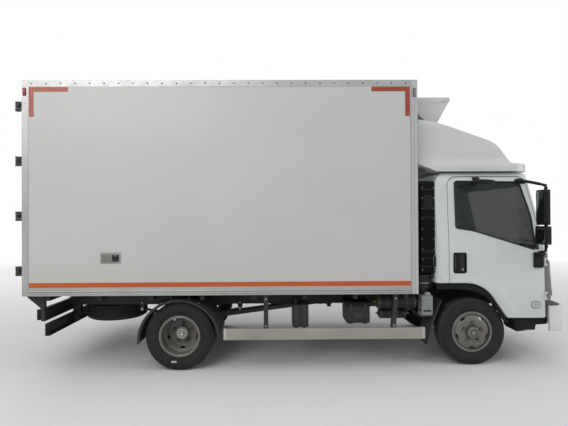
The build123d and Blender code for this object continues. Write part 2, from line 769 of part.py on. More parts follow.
def cargo_door():
    """Left rear door: outer skin, insulated plug and hinge straps."""
    tail = at_rear(-BOX_TAIL)
    edge = BOX_HALF - BOX_SIDE_T - DOOR_PLAY
    z = (DOORWAY_LOW + DOOR_PLAY, DOORWAY_TOP - DOOR_PLAY)
    door = block((tail, tail + 14), (6, edge), z)
    door += block((tail + 14, tail + REAR_FRAME_DEPTH - 4), (14, edge), z)
    x, y = tail - HINGE_BACK, HINGE_Y
    for height in hinge_heights():
        low, high = height - 24, height + 24
        door += block((tail - 8, tail), (700, edge - 10), (low, high))
        link = [(tail - 8, edge - 60), (tail - 0.5, edge - 10), (tail - 0.5, edge), (x + 4, y + 12),
                (x - 14, y - 8)]
        door += slab("z", link, low, high)
        door += bar((x, y, low), (x, y, high), BARREL_R - 1)
        door += bar((x, y, height - 50), (x, y, height + 50), HINGE_PIN_R)
    return door


def cargo_locks():
    """Two locking bars with guides and a handle on the left rear door."""
    tail = at_rear(-BOX_TAIL)
    pieces = []
    low, high = DOORWAY_LOW + 15, DOORWAY_TOP - 12
    for y in LOCK_BARS_Y:
        rod = bar((tail - 28, y, low), (tail - 28, y, high), 12)
        for z in (low + 10, 1500, high - 890, high - 60):
            rod += block((tail - 44, tail), (y - 28, y + 28), (z, z + 50))
        rod += block((tail - 44, tail - 30), (y - 12, y + 300), (1240, 1262))
        rod += block((tail - 40, tail), (y + 250, y + 290), (1225, 1277))
        pieces.append(rod)
    return group(pieces)


def box_rails():
    """Aluminium rails along the top and bottom edges of the box."""
    x0, x1 = box_x()
    start, end = x0 + 1, x1 - FRONT_POST_W
    out, inn = BOX_HALF, BOX_HALF - TRIM_T
    low = BOX_LOW
    bottom = [
        (inn, low), (out, low), (out, low + 22), (out - 2, low + 25), (out - 2, low + 40), (out, low + 43),
        (out, low + 52), (out - 2, low + 55), (out - 2, low + BOTTOM_RAIL_H), (inn, low + BOTTOM_RAIL_H)]
    top = [
        (inn, BOX_TOP - TOP_RAIL_H), (out, BOX_TOP - TOP_RAIL_H), (out, BOX_TOP), (out - 60, BOX_TOP),
        (out - 60, BOX_TOP - TRIM_T), (inn, BOX_TOP - TRIM_T)]
    pieces = both(slab("x", bottom, start, end)) + both(slab("x", top, start, end))
    inner = BOX_HALF - BOX_SIDE_T - 2
    nose = [(x1 - 60, BOX_TOP), (x1 + TRIM_T, BOX_TOP), (x1 + TRIM_T, BOX_TOP - TOP_RAIL_H),
            (x1, BOX_TOP - TOP_RAIL_H), (x1, BOX_TOP - TRIM_T), (x1 - 60, BOX_TOP - TRIM_T)]
    pieces.append(slab("y", nose, -inner, inner))
    return group(pieces)


def box_posts():
    """Aluminium corner posts at the nose of the box, with cast caps at both ends."""
    x1 = box_x()[1]
    start = x1 - FRONT_POST_W + 1
    out, inn = BOX_HALF, BOX_HALF - TRIM_T
    corners = [(start, inn), (start, out), (x1 + TRIM_T, out, 2), (x1 + TRIM_T, out - 58), (x1, out - 58),
               (x1, inn)]
    post = slab("z", corners, BOX_LOW, BOX_TOP - TRIM_T)
    post += block((start, x1 + TRIM_T), (BOX_HALF - 58, BOX_HALF), (BOX_TOP - TRIM_T, BOX_TOP))
    return group(both(post))


def cooling_unit():
    """Condenser housing on the nose of the box, over the cab."""
    nose = at_rear(BOX_NOSE) - TRIM_T
    front = at_front(-170)
    top = UNIT_TOP
    corners = [(nose, top), (front, top, 12), (front, top - 48, 6), (front - 14, top - 54),
               (front - 162, top - 324, 10), (front - 282, top - 300, 10), (nose, top - 78)]
    unit = slab("y", corners, -750, 750)
    slot = block((front - 110, front + 10), (-760, 760), (top - 58, top - 50))
    core = block((nose, front - 8), (-742, 742), (top - 66, top - 40))
    return unit - (slot - core)


def evaporator():
    """Evaporator inside the box, under the roof at the front wall."""
    nose = box_x()[1] - BOX_FRONT_T
    top = BOX_TOP - BOX_ROOF_T
    corners = [(nose, top), (nose - 520, top), (nose - 520, top - 90, 20), (nose - 380, top - 210, 20),
               (nose, top - 210)]
    return slab("y", corners, -620, 620)


# Cab

def cab_form(inset):
    """Filled outer form of the cab, drawn in by an inset."""
    i = inset
    half = CAB_HALF - i
    top_half = CAB_TOP_HALF - i
    roof = CAB_ROOF - i
    rear = at_front(CAB_REAR) + i
    low = 500
    front_view = slab("x", [
        (-half, low), (-half, CAB_BELT), (-top_half, roof, max(150 - i, 10)),
        (top_half, roof, max(150 - i, 10)),
        (half, CAB_BELT), (half, low)], at_front(-500), at_front(1100))
    side_view = slab("y", [
        (rear, low), (rear, roof, max(190 - i, 10)), (at_front(662) - i, roof, max(170 - i, 10)),
        (at_front(CAB_BELT_FRONT) + 60, CAB_BELT - 60), (at_front(1100), low)], -OUTSIDE, OUTSIDE)
    rear_plan = slab("z", [
        (rear, -half, max(60 - i, 5)), (at_front(1100), -half), (at_front(1100), half),
        (rear, half, max(60 - i, 5))],
        low, roof)
    front = at_front(CAB_BELT_FRONT) - i
    nose = [
        (at_front(-700), -half), (front - 50, -half, max(170 - i, 20)), (front, -330, 4000),
        (front, 330, 4000),
        (front - 50, half, max(170 - i, 20)), (at_front(-700), half)]
    belt = Plane(origin=(0, 0, CAB_BELT), x_dir=(1, 0, 0), z_dir=(0, 0, 1))
    rise = CAB_ROOF - CAB_BELT + 50
    drop = CAB_BELT - low
    up = Vector(-SCREEN_RAKE * rise, 0, rise)
    down = Vector(NOSE_LEAN * drop, 0, -drop)
    face = outline(belt, nose)
    plan = extrude(face, amount=up.length, dir=up) + extrude(face, amount=down.length, dir=down)
    return front_view & side_view & rear_plan & plan


FORM = {}


def form(inset):
    """The cab's form at an inset, worked out once."""
    if inset not in FORM:
        FORM[inset] = cab_form(inset)
    return FORM[inset]


def door_hole():
    """Prism of both door openings, open at the bottom."""
    g = SHUT_GAP
    corners = [
        (at_front(DOOR_REAR) - g, 300), (at_front(DOOR_REAR) - g, DOOR_TOP + g, 110 + g),
        (at_front(606) + g, DOOR_TOP + g, 100), (at_front(738) + g, 1620, 700),
        (at_front(DOOR_FRONT) + g, 1220, 200), (at_front(DOOR_FRONT) + g, 300)]
    hole = slab("y", corners, 500, 1100)
    return hole + mirrored(hole)


def screen_corners():
    """Windscreen outline in the front view."""
    return [(-860, 1345, 60), (860, 1345, 60), (800, 2085, 80), (-800, 2085, 80)]


def rear_window_corners():
    """Rear window outline in the rear view."""
    return [(-400, 1640, 50), (400, 1640, 50), (400, 1960, 50), (-400, 1960, 50)]


def cab_shell():
    """Cab walls and roof with the door, windscreen and rear window openings."""
    shell = form(0) - form(CAB_WALL) - door_hole()
    shell -= slab("x", screen_corners(), at_front(300), at_front(1100))
    shell -= slab("x", rear_window_corners(), at_front(-500), at_front(-300))
    return shell


def cab_back(shell):
    """Rear wall of the cab."""
    return shell & block(span(at_front, -500, 200), (-OUTSIDE, OUTSIDE), (CAB_BACK_LOW, CAB_SEAM))


def cab_front(shell):
    """Nose of the cab with the windscreen pillars."""
    return shell & block(span(at_front, 200, 1100), (-OUTSIDE, OUTSIDE), (CAB_NOSE_LOW, CAB_SEAM))


def cab_roof(shell):
    """Roof of the cab."""
    return shell & block(span(at_front, -500, 1100), (-OUTSIDE, OUTSIDE), (CAB_SEAM, CAB_ROOF + 10))


def cab_floor():
    """Floor of the cab with its tilt arms down to the pivot."""
    level = block(span(at_front, -500, 1100), (-OUTSIDE, OUTSIDE), (FLOOR_LOW, FLOOR_LOW + FLOOR_T))
    edge = level - form(DOOR_T + SHUT_GAP)
    plate = (form(CAB_WALL + SLIP) & level) - (door_hole() & edge)
    for side in (-1, 1):
        x, y = at_front(DOOR_FRONT), side * CAB_HALF
        plate -= bar((x, y, FLOOR_LOW), (x, y, FLOOR_LOW + FLOOR_T), DOOR_SWING_R)
        arm = block(span(at_front, TILT_X - 40, TILT_X + 40), (RAIL_OUT + 45, RAIL_OUT + 60),
                    (TILT_Z, FLOOR_LOW))
        arm += bar((at_front(TILT_X), RAIL_OUT + 45, TILT_Z), (at_front(TILT_X), RAIL_OUT + 60, TILT_Z), 40)
        arm += bar((at_front(TILT_X), RAIL_OUT + 2, TILT_Z), (at_front(TILT_X), RAIL_OUT + 50, TILT_Z), 20)
        plate += arm if side > 0 else mirrored(arm)
    return plate


def cab_glass():
    """Windscreen and rear window."""
    screen = (form(GLASS_DEPTH) - form(GLASS_DEPTH + GLASS_T)) & slab(
        "x", screen_corners(), at_front(300), at_front(1100))
    x = at_front(CAB_REAR) + 15
    return group([screen, slab("x", rear_window_corners(), x, x + GLASS_T)])


def door_corners():
    """Outline of a cab door in the side view, with the wheel arch at its foot."""
    return [
        (at_front(DOOR_REAR), CAB_BACK_LOW), (at_front(111), CAB_BACK_LOW, 395),
        (at_front(381), DOOR_LOW, 10),
        (at_front(DOOR_FRONT), DOOR_LOW, 15), (at_front(DOOR_FRONT), 1220, 200), (at_front(738), 1620, 700),
        (at_front(606), DOOR_TOP, 100), (at_front(DOOR_REAR), DOOR_TOP, 110)]


def window_slab():
    """Prism of a door window."""
    return slab("y", [(at_front(x), z, r) for x, z, r in WINDOW], 700, OUTSIDE)


def cab_door():
    """Left cab door: thick lower panel, thin window frame and a recess with its handle."""
    low = (form(0) - form(DOOR_T)) & block(span(at_front, -500, 1100), (600, OUTSIDE), (500, CAB_BELT))
    high = (form(0) - form(DOOR_FRAME_T)) & block(span(at_front, -500, 1100), (600, OUTSIDE),
                                                  (CAB_BELT, CAB_ROOF))
    door = (low + high) & slab("y", door_corners(), 600, OUTSIDE)
    door -= window_slab()
    recess = [(at_front(-233), 1067, 18), (at_front(-86), 1067, 18), (at_front(-86), 1296, 18),
              (at_front(-233), 1296, 18)]
    door -= slab("y", recess, CAB_HALF - 22, CAB_HALF + 1)
    handle = [(at_front(-205), 1085, 8), (at_front(-165), 1085, 8), (at_front(-165), 1280, 8),
              (at_front(-205), 1280, 8)]
    door += slab("y", handle, CAB_HALF - 22, CAB_HALF - 4)
    x, y = at_front(DOOR_FRONT), CAB_HALF
    for z in CAB_HINGE_HEIGHTS:
        door -= bar((x, y, z - 50), (x, y, z + 50), CAB_HINGE_R + 2)
        door += block((x - 30, x - 2), (y - 45, y - 6), (z - 22, z + 22))
        door += bar((x, y, z - 22), (x, y, z + 22), CAB_HINGE_R)
    return door


def cab_hinge_ears(margin):
    """Ears of the door hinges on the cab's front pillars, grown by a margin."""
    x, y = at_front(DOOR_FRONT), CAB_HALF
    ears = []
    for z in CAB_HINGE_HEIGHTS:
        for low, high in ((z - 46, z - 22 - SLIP), (z + 22 + SLIP, z + 46)):
            ear = bar((x, y, low - margin), (x, y, high + margin), CAB_HINGE_R + margin)
            ear += block((x + 2, x + 34 + margin), (y - 62, y - 6 + margin), (low - margin, high + margin))
            ears += both(ear)
    return ears


def door_glass():
    """Left door's pane."""
    return (form(GLASS_DEPTH) - form(GLASS_DEPTH + GLASS_T)) & window_slab()


def mirror_stay():
    """Mirror stay with its main and wide-angle heads, on the left door."""
    foot = slab("y", [(at_front(680), 1125, 12), (at_front(786), 1125, 12), (at_front(786), 1300, 12),
                      (at_front(680), 1300, 12)], CAB_HALF, CAB_HALF + 22)
    x, y = at_front(752), 1120
    path = [(at_front(740), CAB_HALF + 10, 1280), (x, y, 1330), (x, y, 2060), (at_front(580), 942, 2118)]
    stay = foot
    for start, end in zip(path, path[1:]):
        stay += bar(start, end, 11)
    for point in path[1:3]:
        stay += Pos(*point) * Sphere(11)
    frame = slab("y", [(at_front(X), z, 10) for X, z in ((530, 2085), (620, 2085), (590, 2150),
                                                         (530, 2150))], 900, 990)
    stay += (frame & form(-14)) - form(0)
    for low, high, reach, depth in ((1614, 2005, 1220, 62), (1398, 1600, 1236, 74)):
        plan = [(at_front(752) - depth, 1026, 18), (at_front(752), 1034, 24), (at_front(752), reach - 4, 24),
                (at_front(752) - depth, reach, 18)]
        face = [(1020, low, 40), (reach + 4, low, 40), (reach + 4, high, 40), (1020, high, 40)]
        stay += slab("z", plan, low, high) & slab("x", face, at_front(600), at_front(800))
    return stay


def kerb_mirror():
    """Kerb mirror over the top of the right door, with its bracket."""
    x, y, z = at_front(55), -1130, 2076
    head = Pos(x, y, z) * (Rot(12, 0, 0) * extrude(Ellipse(112, 78), amount=38))
    arm = bar((x, y, z + 20), (x, -900, 2152), 12)
    pad = (block((x - 40, x + 40), (-1000, -850), (2116, 2166)) & form(-12)) - form(0)
    return head + (arm - form(0)) + pad


def spoiler_form(inset):
    """Filled form of the roof spoiler, drawn in by an inset: a dome over a wider flange."""
    i = inset
    low = CAB_ROOF
    side_view = slab("y", [
        (at_front(-606) + i, 2318), (at_front(-400), low), (at_front(752) - i, low),
        (at_front(743) - i, SPOILER_FLANGE - 44 - i, 35), (at_front(690) - i, SPOILER_FLANGE - i, 55),
        (at_front(468) - i, SPOILER_FLANGE + 12 - i, 50), (at_front(312) - i, 2567 - i, 330),
        (at_front(-340), 2802 - i, 900), (at_front(-598) + i, SPOILER_TOP - i)], -1000, 1000)
    front_view = slab("x", [
        (-940 + i, low - 20), (-940 + i, SPOILER_FLANGE - 20 - i, 60),
        (-906 + i, SPOILER_FLANGE + 70 - i, 80),
        (-880 + i, SPOILER_TOP + 8 - i, 150), (880 - i, SPOILER_TOP + 8 - i, 150),
        (906 - i, SPOILER_FLANGE + 70 - i, 80), (940 - i, SPOILER_FLANGE - 20 - i, 60), (940 - i, low - 20)],
        at_front(-700), at_front(900))
    plan = slab("z", [
        (at_front(-700), -940 + i), (at_front(700) - i, -940 + i, 220), (at_front(752) - i, -300, 1500),
        (at_front(752) - i, 300, 1500), (at_front(700) - i, 940 - i, 220), (at_front(-700), 940 - i)],
        low - 20, 3000)
    return side_view & front_view & plan


def spoiler():
    """Roof spoiler: a shell open behind, with a notch that clears the cooling unit as the cab tilts."""
    shell = spoiler_form(0)
    cavity = spoiler_form(12) & block(span(at_front, -590, 800), (-OUTSIDE, OUTSIDE), (CAB_ROOF + 8, 3000))
    shell -= cavity
    shell -= block(span(at_front, -700, -580), (-860, 860), (CAB_ROOF + 8, SPOILER_TOP - 32))
    shell -= block(span(at_front, -700, 560), (-720, 720), (CAB_ROOF - 1, CAB_ROOF + 9))
    shell -= block(span(at_front, -700, -60), (-800, 800), (2260, 3000))
    return shell


def corner_panels(shell):
    """Plastic corner panels beside the nose, over the front pillars."""
    cut = block(span(at_front, 500, 1100), (790, 1000), (CAB_NOSE_LOW, 1290))
    return (shell & (cut + mirrored(cut))) - form(CORNER_T)


def grille():
    """Grille panel that stands a little proud of the nose."""
    skin = form(-10) - form(0)
    panel = skin & block(span(at_front, 800, 1100), (-560, 560), (790, 1060))
    for z in (835, 880, 925, 970, 1015):
        panel -= (form(-11) - form(-5)) & block(span(at_front, 800, 1100), (-520, 520), (z, z + 22))
    return panel


def headlamps():
    """Headlamp at each front corner of the nose."""
    skin = form(-12) - form(0)
    lamp = skin & block(span(at_front, 700, 1100), (680, 930), (780, 1190))
    return group(both(lamp))


def steps():
    """Step and inner wall of each entry well, under the floor of the cab."""
    tread = [(474, 546), (515, 382), (728, 400), (738, 458), (868, 466), (868, 546)]
    step = slab("y", [(at_front(x), z) for x, z in tread], 680, 932)
    step -= slab("y", [(at_front(x), z) for x, z in ((500, 547), (532, 400), (716, 414), (726, 472),
                                                     (850, 480), (850, 547))],
                 690, 920)
    step += block(span(at_front, 500, 860), (668, 680), (400, FLOOR_LOW))
    return group(both(step))


def arch_liners():
    """Front half of each front wheel arch, under the floor of the cab."""
    t = 5
    corners = [
        (at_front(-380), FLOOR_LOW - t), (at_front(205), FLOOR_LOW - t, 190), (at_front(441), 556),
        (at_front(447), 560), (at_front(211), FLOOR_LOW, 195), (at_front(-380), FLOOR_LOW)]
    return group(both(slab("y", corners, 610, 930)))


def air_intake():
    """Air intake duct on the back of the cab, on the right."""
    rear = at_front(CAB_REAR)
    corners = [(-950, 1062, 10), (-730, 1062, 10), (-730, 2125, 60), (-950, 2125, 60)]
    return slab("x", corners, rear - 158, rear)


def dashboard():
    """Dashboard across the cab under the windscreen, with the steering column."""
    front = CAB_BELT_FRONT - CAB_WALL
    corners = [(front - 255, 1040, 40), (front - 66, 1010), (front - 66, 1325), (front - 155, 1340, 20),
               (front - 275, 1250, 60)]
    dash = slab("y", [(at_front(x), *rest) for x, *rest in corners], -880, 880)
    axis = column_axis()
    centre = Vector(at_front(STEER_X), STEER_Y, STEER_Z)
    column = bar(tuple(centre - axis * 300), tuple(centre - axis * 42), 32)
    stay = form(CAB_WALL + SLIP) & block(span(at_front, 800, 1100), (-300, 300), (1100, 1130))
    return dash + column + stay


def column_axis():
    """Direction of the steering column, up and back towards the driver."""
    lean = math.radians(STEER_LEAN)
    return Vector(-math.sin(lean), 0, math.cos(lean))


def steering_wheel():
    """Steering wheel on its short shaft."""
    axis = column_axis()
    plane = Plane(origin=(at_front(STEER_X), STEER_Y, STEER_Z), x_dir=(0, 1, 0), z_dir=axis)
    rim = Torus(STEER_R - 14, 14)
    hub = Pos(0, 0, -22) * Cylinder(62, 34)
    shaft = Pos(0, 0, -36) * Cylinder(18, 11.4)
    wheel = rim + hub + shaft
    for angle in (-90, 25, 155):
        a = math.radians(angle)
        end = (188 * math.cos(a), 188 * math.sin(a), 0)
        wheel += bar((30 * math.cos(a), 30 * math.sin(a), -18), end, 11)
    return plane * wheel


def seat_bases():
    """Raised base under the seats, over the engine and wheels."""
    top = FLOOR_LOW + FLOOR_T
    return group([block(span(at_front, -360, 190), y, (top, CUSHION_Z[0] - SLIP)) for y in SEATS])


def seat_cushions():
    """Seat cushions."""
    pieces = []
    for y in SEATS:
        corners = [(at_front(-330), CUSHION_Z[0], 20), (at_front(210), CUSHION_Z[0], 30),
                   (at_front(210), CUSHION_Z[1] + 10, 40), (at_front(-150), CUSHION_Z[1] - 10, 40),
                   (at_front(-330), CUSHION_Z[1] - 10, 20)]
        pieces.append(slab("y", corners, *y))
    return group(pieces)


def seat_backs():
    """Seat backs with their headrests."""
    pieces = []
    for y in SEATS:
        inset = 20
        low = CUSHION_Z[1] - 10 + SLIP
        corners = [(at_front(-330), low, 20), (at_front(-200), low, 30), (at_front(-235), 1870, 40),
                   (at_front(-355), 1870, 30)]
        back = slab("y", corners, y[0] + inset, y[1] - inset)
        centres = [(y[0] + y[1]) / 2] if y[0] > 0 else [y[0] + 190, y[1] - 190]
        for centre in centres:
            head = [(at_front(-352), 1860, 20), (at_front(-262), 1860, 20), (at_front(-272), 2040, 30),
                    (at_front(-355), 2040, 30)]
            back += slab("y", head, centre - 130, centre + 130)
        pieces.append(back)
    return group(pieces)


def frame_brackets():
    """Brackets on the frame: spring hangers, arms under the side units, nose brackets and cab rest."""
    return group([spring_hangers(), side_brackets(), nose_brackets(), cab_rest()])


def side_units():
    """Battery box, small tank, round tanks and air filter carried beside the right rail."""
    return group([battery_box(), reservoir(), air_tanks(), air_filter()])


def rear_frame():
    """Frame of the rear doorway: posts, header and sill."""
    return group([rear_posts(), rear_crossbars()])


def one_off_nodes():
    """Nodes that sit on the centre line or hold both sides' pieces."""
    shell = cab_shell()
    front = cab_front(shell)
    corners = corner_panels(front)
    front -= corners
    for ear, room in zip(cab_hinge_ears(0), cab_hinge_ears(1)):
        front += ear
        corners -= room
    for side in (-1, 1):
        for z in CAB_HINGE_HEIGHTS:
            x, y = at_front(DOOR_FRONT), side * CAB_HALF
            corners -= bar((x, y, z - 48), (x, y, z + 48), CAB_HINGE_R + 3)
    return {
        "frame_rails": rails(),
        "cross_members": group([cross_members(), cross_bearers()]),
        "frame_brackets": frame_brackets(),
        "front_axle": front_axle(),
        "rear_axle": rear_axle(),
        "leaf_springs": springs(),
        "driveline": group([engine(), propeller_shaft()]),
        "side_units": side_units(),
        "fuel_tank": fuel_tank(),
        "silencer": silencer(),
        "coolant_bottle": coolant_bottle(),
        "side_guards": side_guards(),
        "mudguards": group([rear_mudguards(), front_flaps()]),
        "spare_tyre": spare_tyre(),
        "spare_rim": spare_rim(),
        "rear_bars": group([underrun_bar(), lamp_bar()]),
        "rear_lamps": rear_lamps(),
        "bumper": bumper(),
        "box_floor": box_floor(),
        "box_sides": group(both(box_side())),
        "box_front": box_front(),
        "box_roof": box_roof(),
        "rear_frame": rear_frame(),
        "box_trims": group([box_rails(), box_posts()]),
        "cooling_unit": group([cooling_unit(), evaporator()]),
        "tie_rod": tie_rod(),
        "cab_back": cab_back(shell),
        "cab_front": front,
        "cab_roof": cab_roof(shell),
        "cab_floor": cab_floor(),
        "cab_glass": cab_glass(),
        "nose_trim": group([corners, grille()]),
        "headlamps": headlamps(),
        "spoiler": spoiler(),
        "step_wells": group([steps(), arch_liners()]),
        "air_intake": air_intake(),
        "cab_interior": group([dashboard(), seat_bases()]),
        "seats": group([seat_cushions(), seat_backs()]),
        "steering_wheel": steering_wheel(),
    }


def left_nodes():
    """Left-hand nodes that have a mirror image of their own on the right."""
    half = TWIN_SPACING / 2
    twins = [tyre(REAR_AXLE, REAR_WHEEL_Y - half), tyre(REAR_AXLE, REAR_WHEEL_Y + half)]
    return {
        "door": cab_door(),
        "door_glass": door_glass(),
        "mirrors": mirror_stay(),
        "cargo_door": cargo_door(),
        "cargo_locks": cargo_locks(),
        "knuckle": knuckle(),
        "front_tyre": tyre(FRONT_AXLE, FRONT_WHEEL_Y),
        "front_rim": front_rim(),
        "rear_tyres": group(twins),
        "rear_rims": rear_rim(),
    }


def main():
    """Write one STEP file for each node."""
    os.makedirs("parts", exist_ok=True)
    nodes = one_off_nodes()
    for name, shape in left_nodes().items():
        nodes[name + "_left"] = shape
        nodes[name + "_right"] = mirrored(shape)
    nodes["mirrors_right"] = group([nodes["mirrors_right"], kerb_mirror()])
    for name, shape in nodes.items():
        export_step(shape, os.path.join("parts", name + ".step"))


main()
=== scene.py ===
"""Refrigerated truck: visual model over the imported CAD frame, in metres. Front is +X, left is +Y."""
import math
import bmesh
import bpy
from mathutils import Matrix, Vector


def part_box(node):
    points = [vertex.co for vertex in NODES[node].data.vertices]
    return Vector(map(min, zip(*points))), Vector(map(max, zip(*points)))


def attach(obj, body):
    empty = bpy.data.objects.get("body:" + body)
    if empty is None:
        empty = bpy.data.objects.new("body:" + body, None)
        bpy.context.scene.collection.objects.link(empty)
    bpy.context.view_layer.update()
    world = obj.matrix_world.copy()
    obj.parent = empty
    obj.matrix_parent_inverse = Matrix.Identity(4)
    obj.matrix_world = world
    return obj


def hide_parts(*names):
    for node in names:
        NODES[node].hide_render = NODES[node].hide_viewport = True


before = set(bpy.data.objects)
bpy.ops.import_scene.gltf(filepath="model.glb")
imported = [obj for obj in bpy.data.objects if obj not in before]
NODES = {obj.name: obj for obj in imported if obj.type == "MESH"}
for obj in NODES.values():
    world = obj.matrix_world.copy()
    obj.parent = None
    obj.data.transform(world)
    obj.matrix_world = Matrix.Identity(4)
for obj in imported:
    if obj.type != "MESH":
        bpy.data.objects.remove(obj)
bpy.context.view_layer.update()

FRONT_AXLE = 2.0175
REAR_AXLE = -1.3275
TYRE_R = 0.38
FRONT_HALF_TRACK = 0.84
REAR_INNER, REAR_MIDDLE, REAR_OUTER = 0.704, 0.824, 0.944
SIDES = (("left", 1), ("right", -1))


def fa(x):
    """X of a place measured from the front axle."""
    return FRONT_AXLE + x


def ra(x):
    """X of a place measured from the rear axle."""
    return REAR_AXLE + x


# Materials

def node(tree, kind, **values):
    """Shader node with its settings and socket defaults."""
    made = tree.nodes.new(kind)
    for key, value in values.items():
        if key in made.inputs:
            made.inputs[key].default_value = value
        else:
            setattr(made, key, value)
    return made


def ramp(tree, source, low, high, a=0.0, b=1.0):
    """Clamped map of a value."""
    made = tree.nodes.new("ShaderNodeMapRange")
    for index, value in zip((1, 2, 3, 4), (low, high, a, b)):
        made.inputs[index].default_value = value
    tree.links.new(source, made.inputs[0])
    return made.outputs[0]


def mix(tree, factor, a, b, mode="MIX"):
    """Colour mix; a and b are colours or sockets."""
    made = tree.nodes.new("ShaderNodeMix")
    made.data_type = "RGBA"
    made.blend_type = mode
    tree.links.new(factor, made.inputs[0])
    for socket, value in ((made.inputs[6], a), (made.inputs[7], b)):
        if isinstance(value, tuple):
            socket.default_value = (*value, 1.0)
        else:
            tree.links.new(value, socket)
    return made.outputs[2]


def noise(tree, where, scale, detail=4.0, rough=0.55, stretch=None):
    """Noise value over the object's own coordinates."""
    source = where
    if stretch:
        mapping = tree.nodes.new("ShaderNodeMapping")
        mapping.inputs["Scale"].default_value = stretch
        tree.links.new(where, mapping.inputs[0])
        source = mapping.outputs[0]
    made = node(tree, "ShaderNodeTexNoise", Scale=scale, Detail=detail, Roughness=rough)
    tree.links.new(source, made.inputs["Vector"])
    return made.outputs["Fac"]


def surface(name, color, rough, metallic=0.0, shade=0.06, scale=2.5, rough_var=0.08, bump=0.0,
            bump_scale=300.0, stretch=None, dust=None, coat=0.0, spots=None, specular=0.5, sheen=0.0,
            grain=None):
    """Procedural finish: soft changes of tone and gloss, dust low down, and a fine bump for the grain."""
    material = bpy.data.materials.new(name)
    material.use_nodes = True
    tree = material.node_tree
    shader = tree.nodes["Principled BSDF"]
    where = tree.nodes.new("ShaderNodeTexCoord").outputs["Object"]
    soft = noise(tree, where, scale, 5.0)
    dark = tuple(c * (1 - shade) for c in color)
    light = tuple(min(c * (1 + shade), 1.0) for c in color)
    tone = mix(tree, ramp(tree, soft, 0.3, 0.7), dark, light)
    fine = noise(tree, where, scale * 9, 6.0, 0.65)
    if spots:
        spot_color, low, high = spots
        tone = mix(tree, ramp(tree, fine, low, high), tone, spot_color)
    if dust:
        dust_color, bottom, top, amount = dust
        split = tree.nodes.new("ShaderNodeSeparateXYZ")
        tree.links.new(where, split.inputs[0])
        level = ramp(tree, split.outputs["Z"], bottom, top, amount, 0.0)
        patch = node(tree, "ShaderNodeMath", operation="MULTIPLY")
        tree.links.new(level, patch.inputs[0])
        tree.links.new(ramp(tree, fine, 0.25, 0.7, 0.45, 1.0), patch.inputs[1])
        tone = mix(tree, patch.outputs[0], tone, dust_color)
    tree.links.new(tone, shader.inputs["Base Color"])
    tree.links.new(ramp(tree, fine, 0.3, 0.7, max(rough - rough_var, 0.02), min(rough + rough_var, 1.0)),
                   shader.inputs["Roughness"])
    shader.inputs["Metallic"].default_value = metallic
    shader.inputs["Specular IOR Level"].default_value = specular
    shader.inputs["Coat Weight"].default_value = coat
    shader.inputs["Coat Roughness"].default_value = 0.08
    shader.inputs["Sheen Weight"].default_value = sheen
    if bump:
        if grain == "cells":
            cells = node(tree, "ShaderNodeTexVoronoi", Scale=bump_scale)
            tree.links.new(where, cells.inputs["Vector"])
            height = cells.outputs["Distance"]
        elif grain == "weave":
            waves = []
            for direction in ("X", "Z"):
                wave = node(tree, "ShaderNodeTexWave", Scale=bump_scale, Distortion=0.6)
                wave.bands_direction = direction
                tree.links.new(where, wave.inputs["Vector"])
                waves.append(wave.outputs["Fac"])
            both = node(tree, "ShaderNodeMath", operation="MULTIPLY")
            tree.links.new(waves[0], both.inputs[0])
            tree.links.new(waves[1], both.inputs[1])
            height = both.outputs[0]
        else:
            height = noise(tree, where, bump_scale, 3.0, 0.5, stretch)
        relief = node(tree, "ShaderNodeBump", Strength=bump, Distance=0.002)
        tree.links.new(height, relief.inputs["Height"])
        tree.links.new(relief.outputs[0], shader.inputs["Normal"])
    return material


def glass(name, color, rough=0.03, alpha=0.35):
    """Thin tinted pane with faint smears in its gloss."""
    material = bpy.data.materials.new(name)
    material.use_nodes = True
    tree = material.node_tree
    shader = tree.nodes["Principled BSDF"]
    where = tree.nodes.new("ShaderNodeTexCoord").outputs["Object"]
    smear = noise(tree, where, 6.0, 6.0, 0.6, (1.0, 1.0, 2.5))
    tone = mix(tree, ramp(tree, smear, 0.3, 0.7), color, tuple(c * 1.25 for c in color))
    tree.links.new(tone, shader.inputs["Base Color"])
    tree.links.new(ramp(tree, smear, 0.35, 0.75, rough, rough + 0.05), shader.inputs["Roughness"])
    shader.inputs["IOR"].default_value = 1.5
    shader.inputs["Alpha"].default_value = alpha
    shader.inputs["Coat Weight"].default_value = 0.3
    return material


def lens(name, color, rough=0.08, alpha=1.0, ribs=420.0):
    """Moulded lamp lens with fine optics pressed into it."""
    material = surface(name, color, rough, shade=0.1, scale=9.0, rough_var=0.03, bump=0.35, bump_scale=ribs,
                       grain="weave", coat=0.6)
    material.node_tree.nodes["Principled BSDF"].inputs["Alpha"].default_value = alpha
    return material


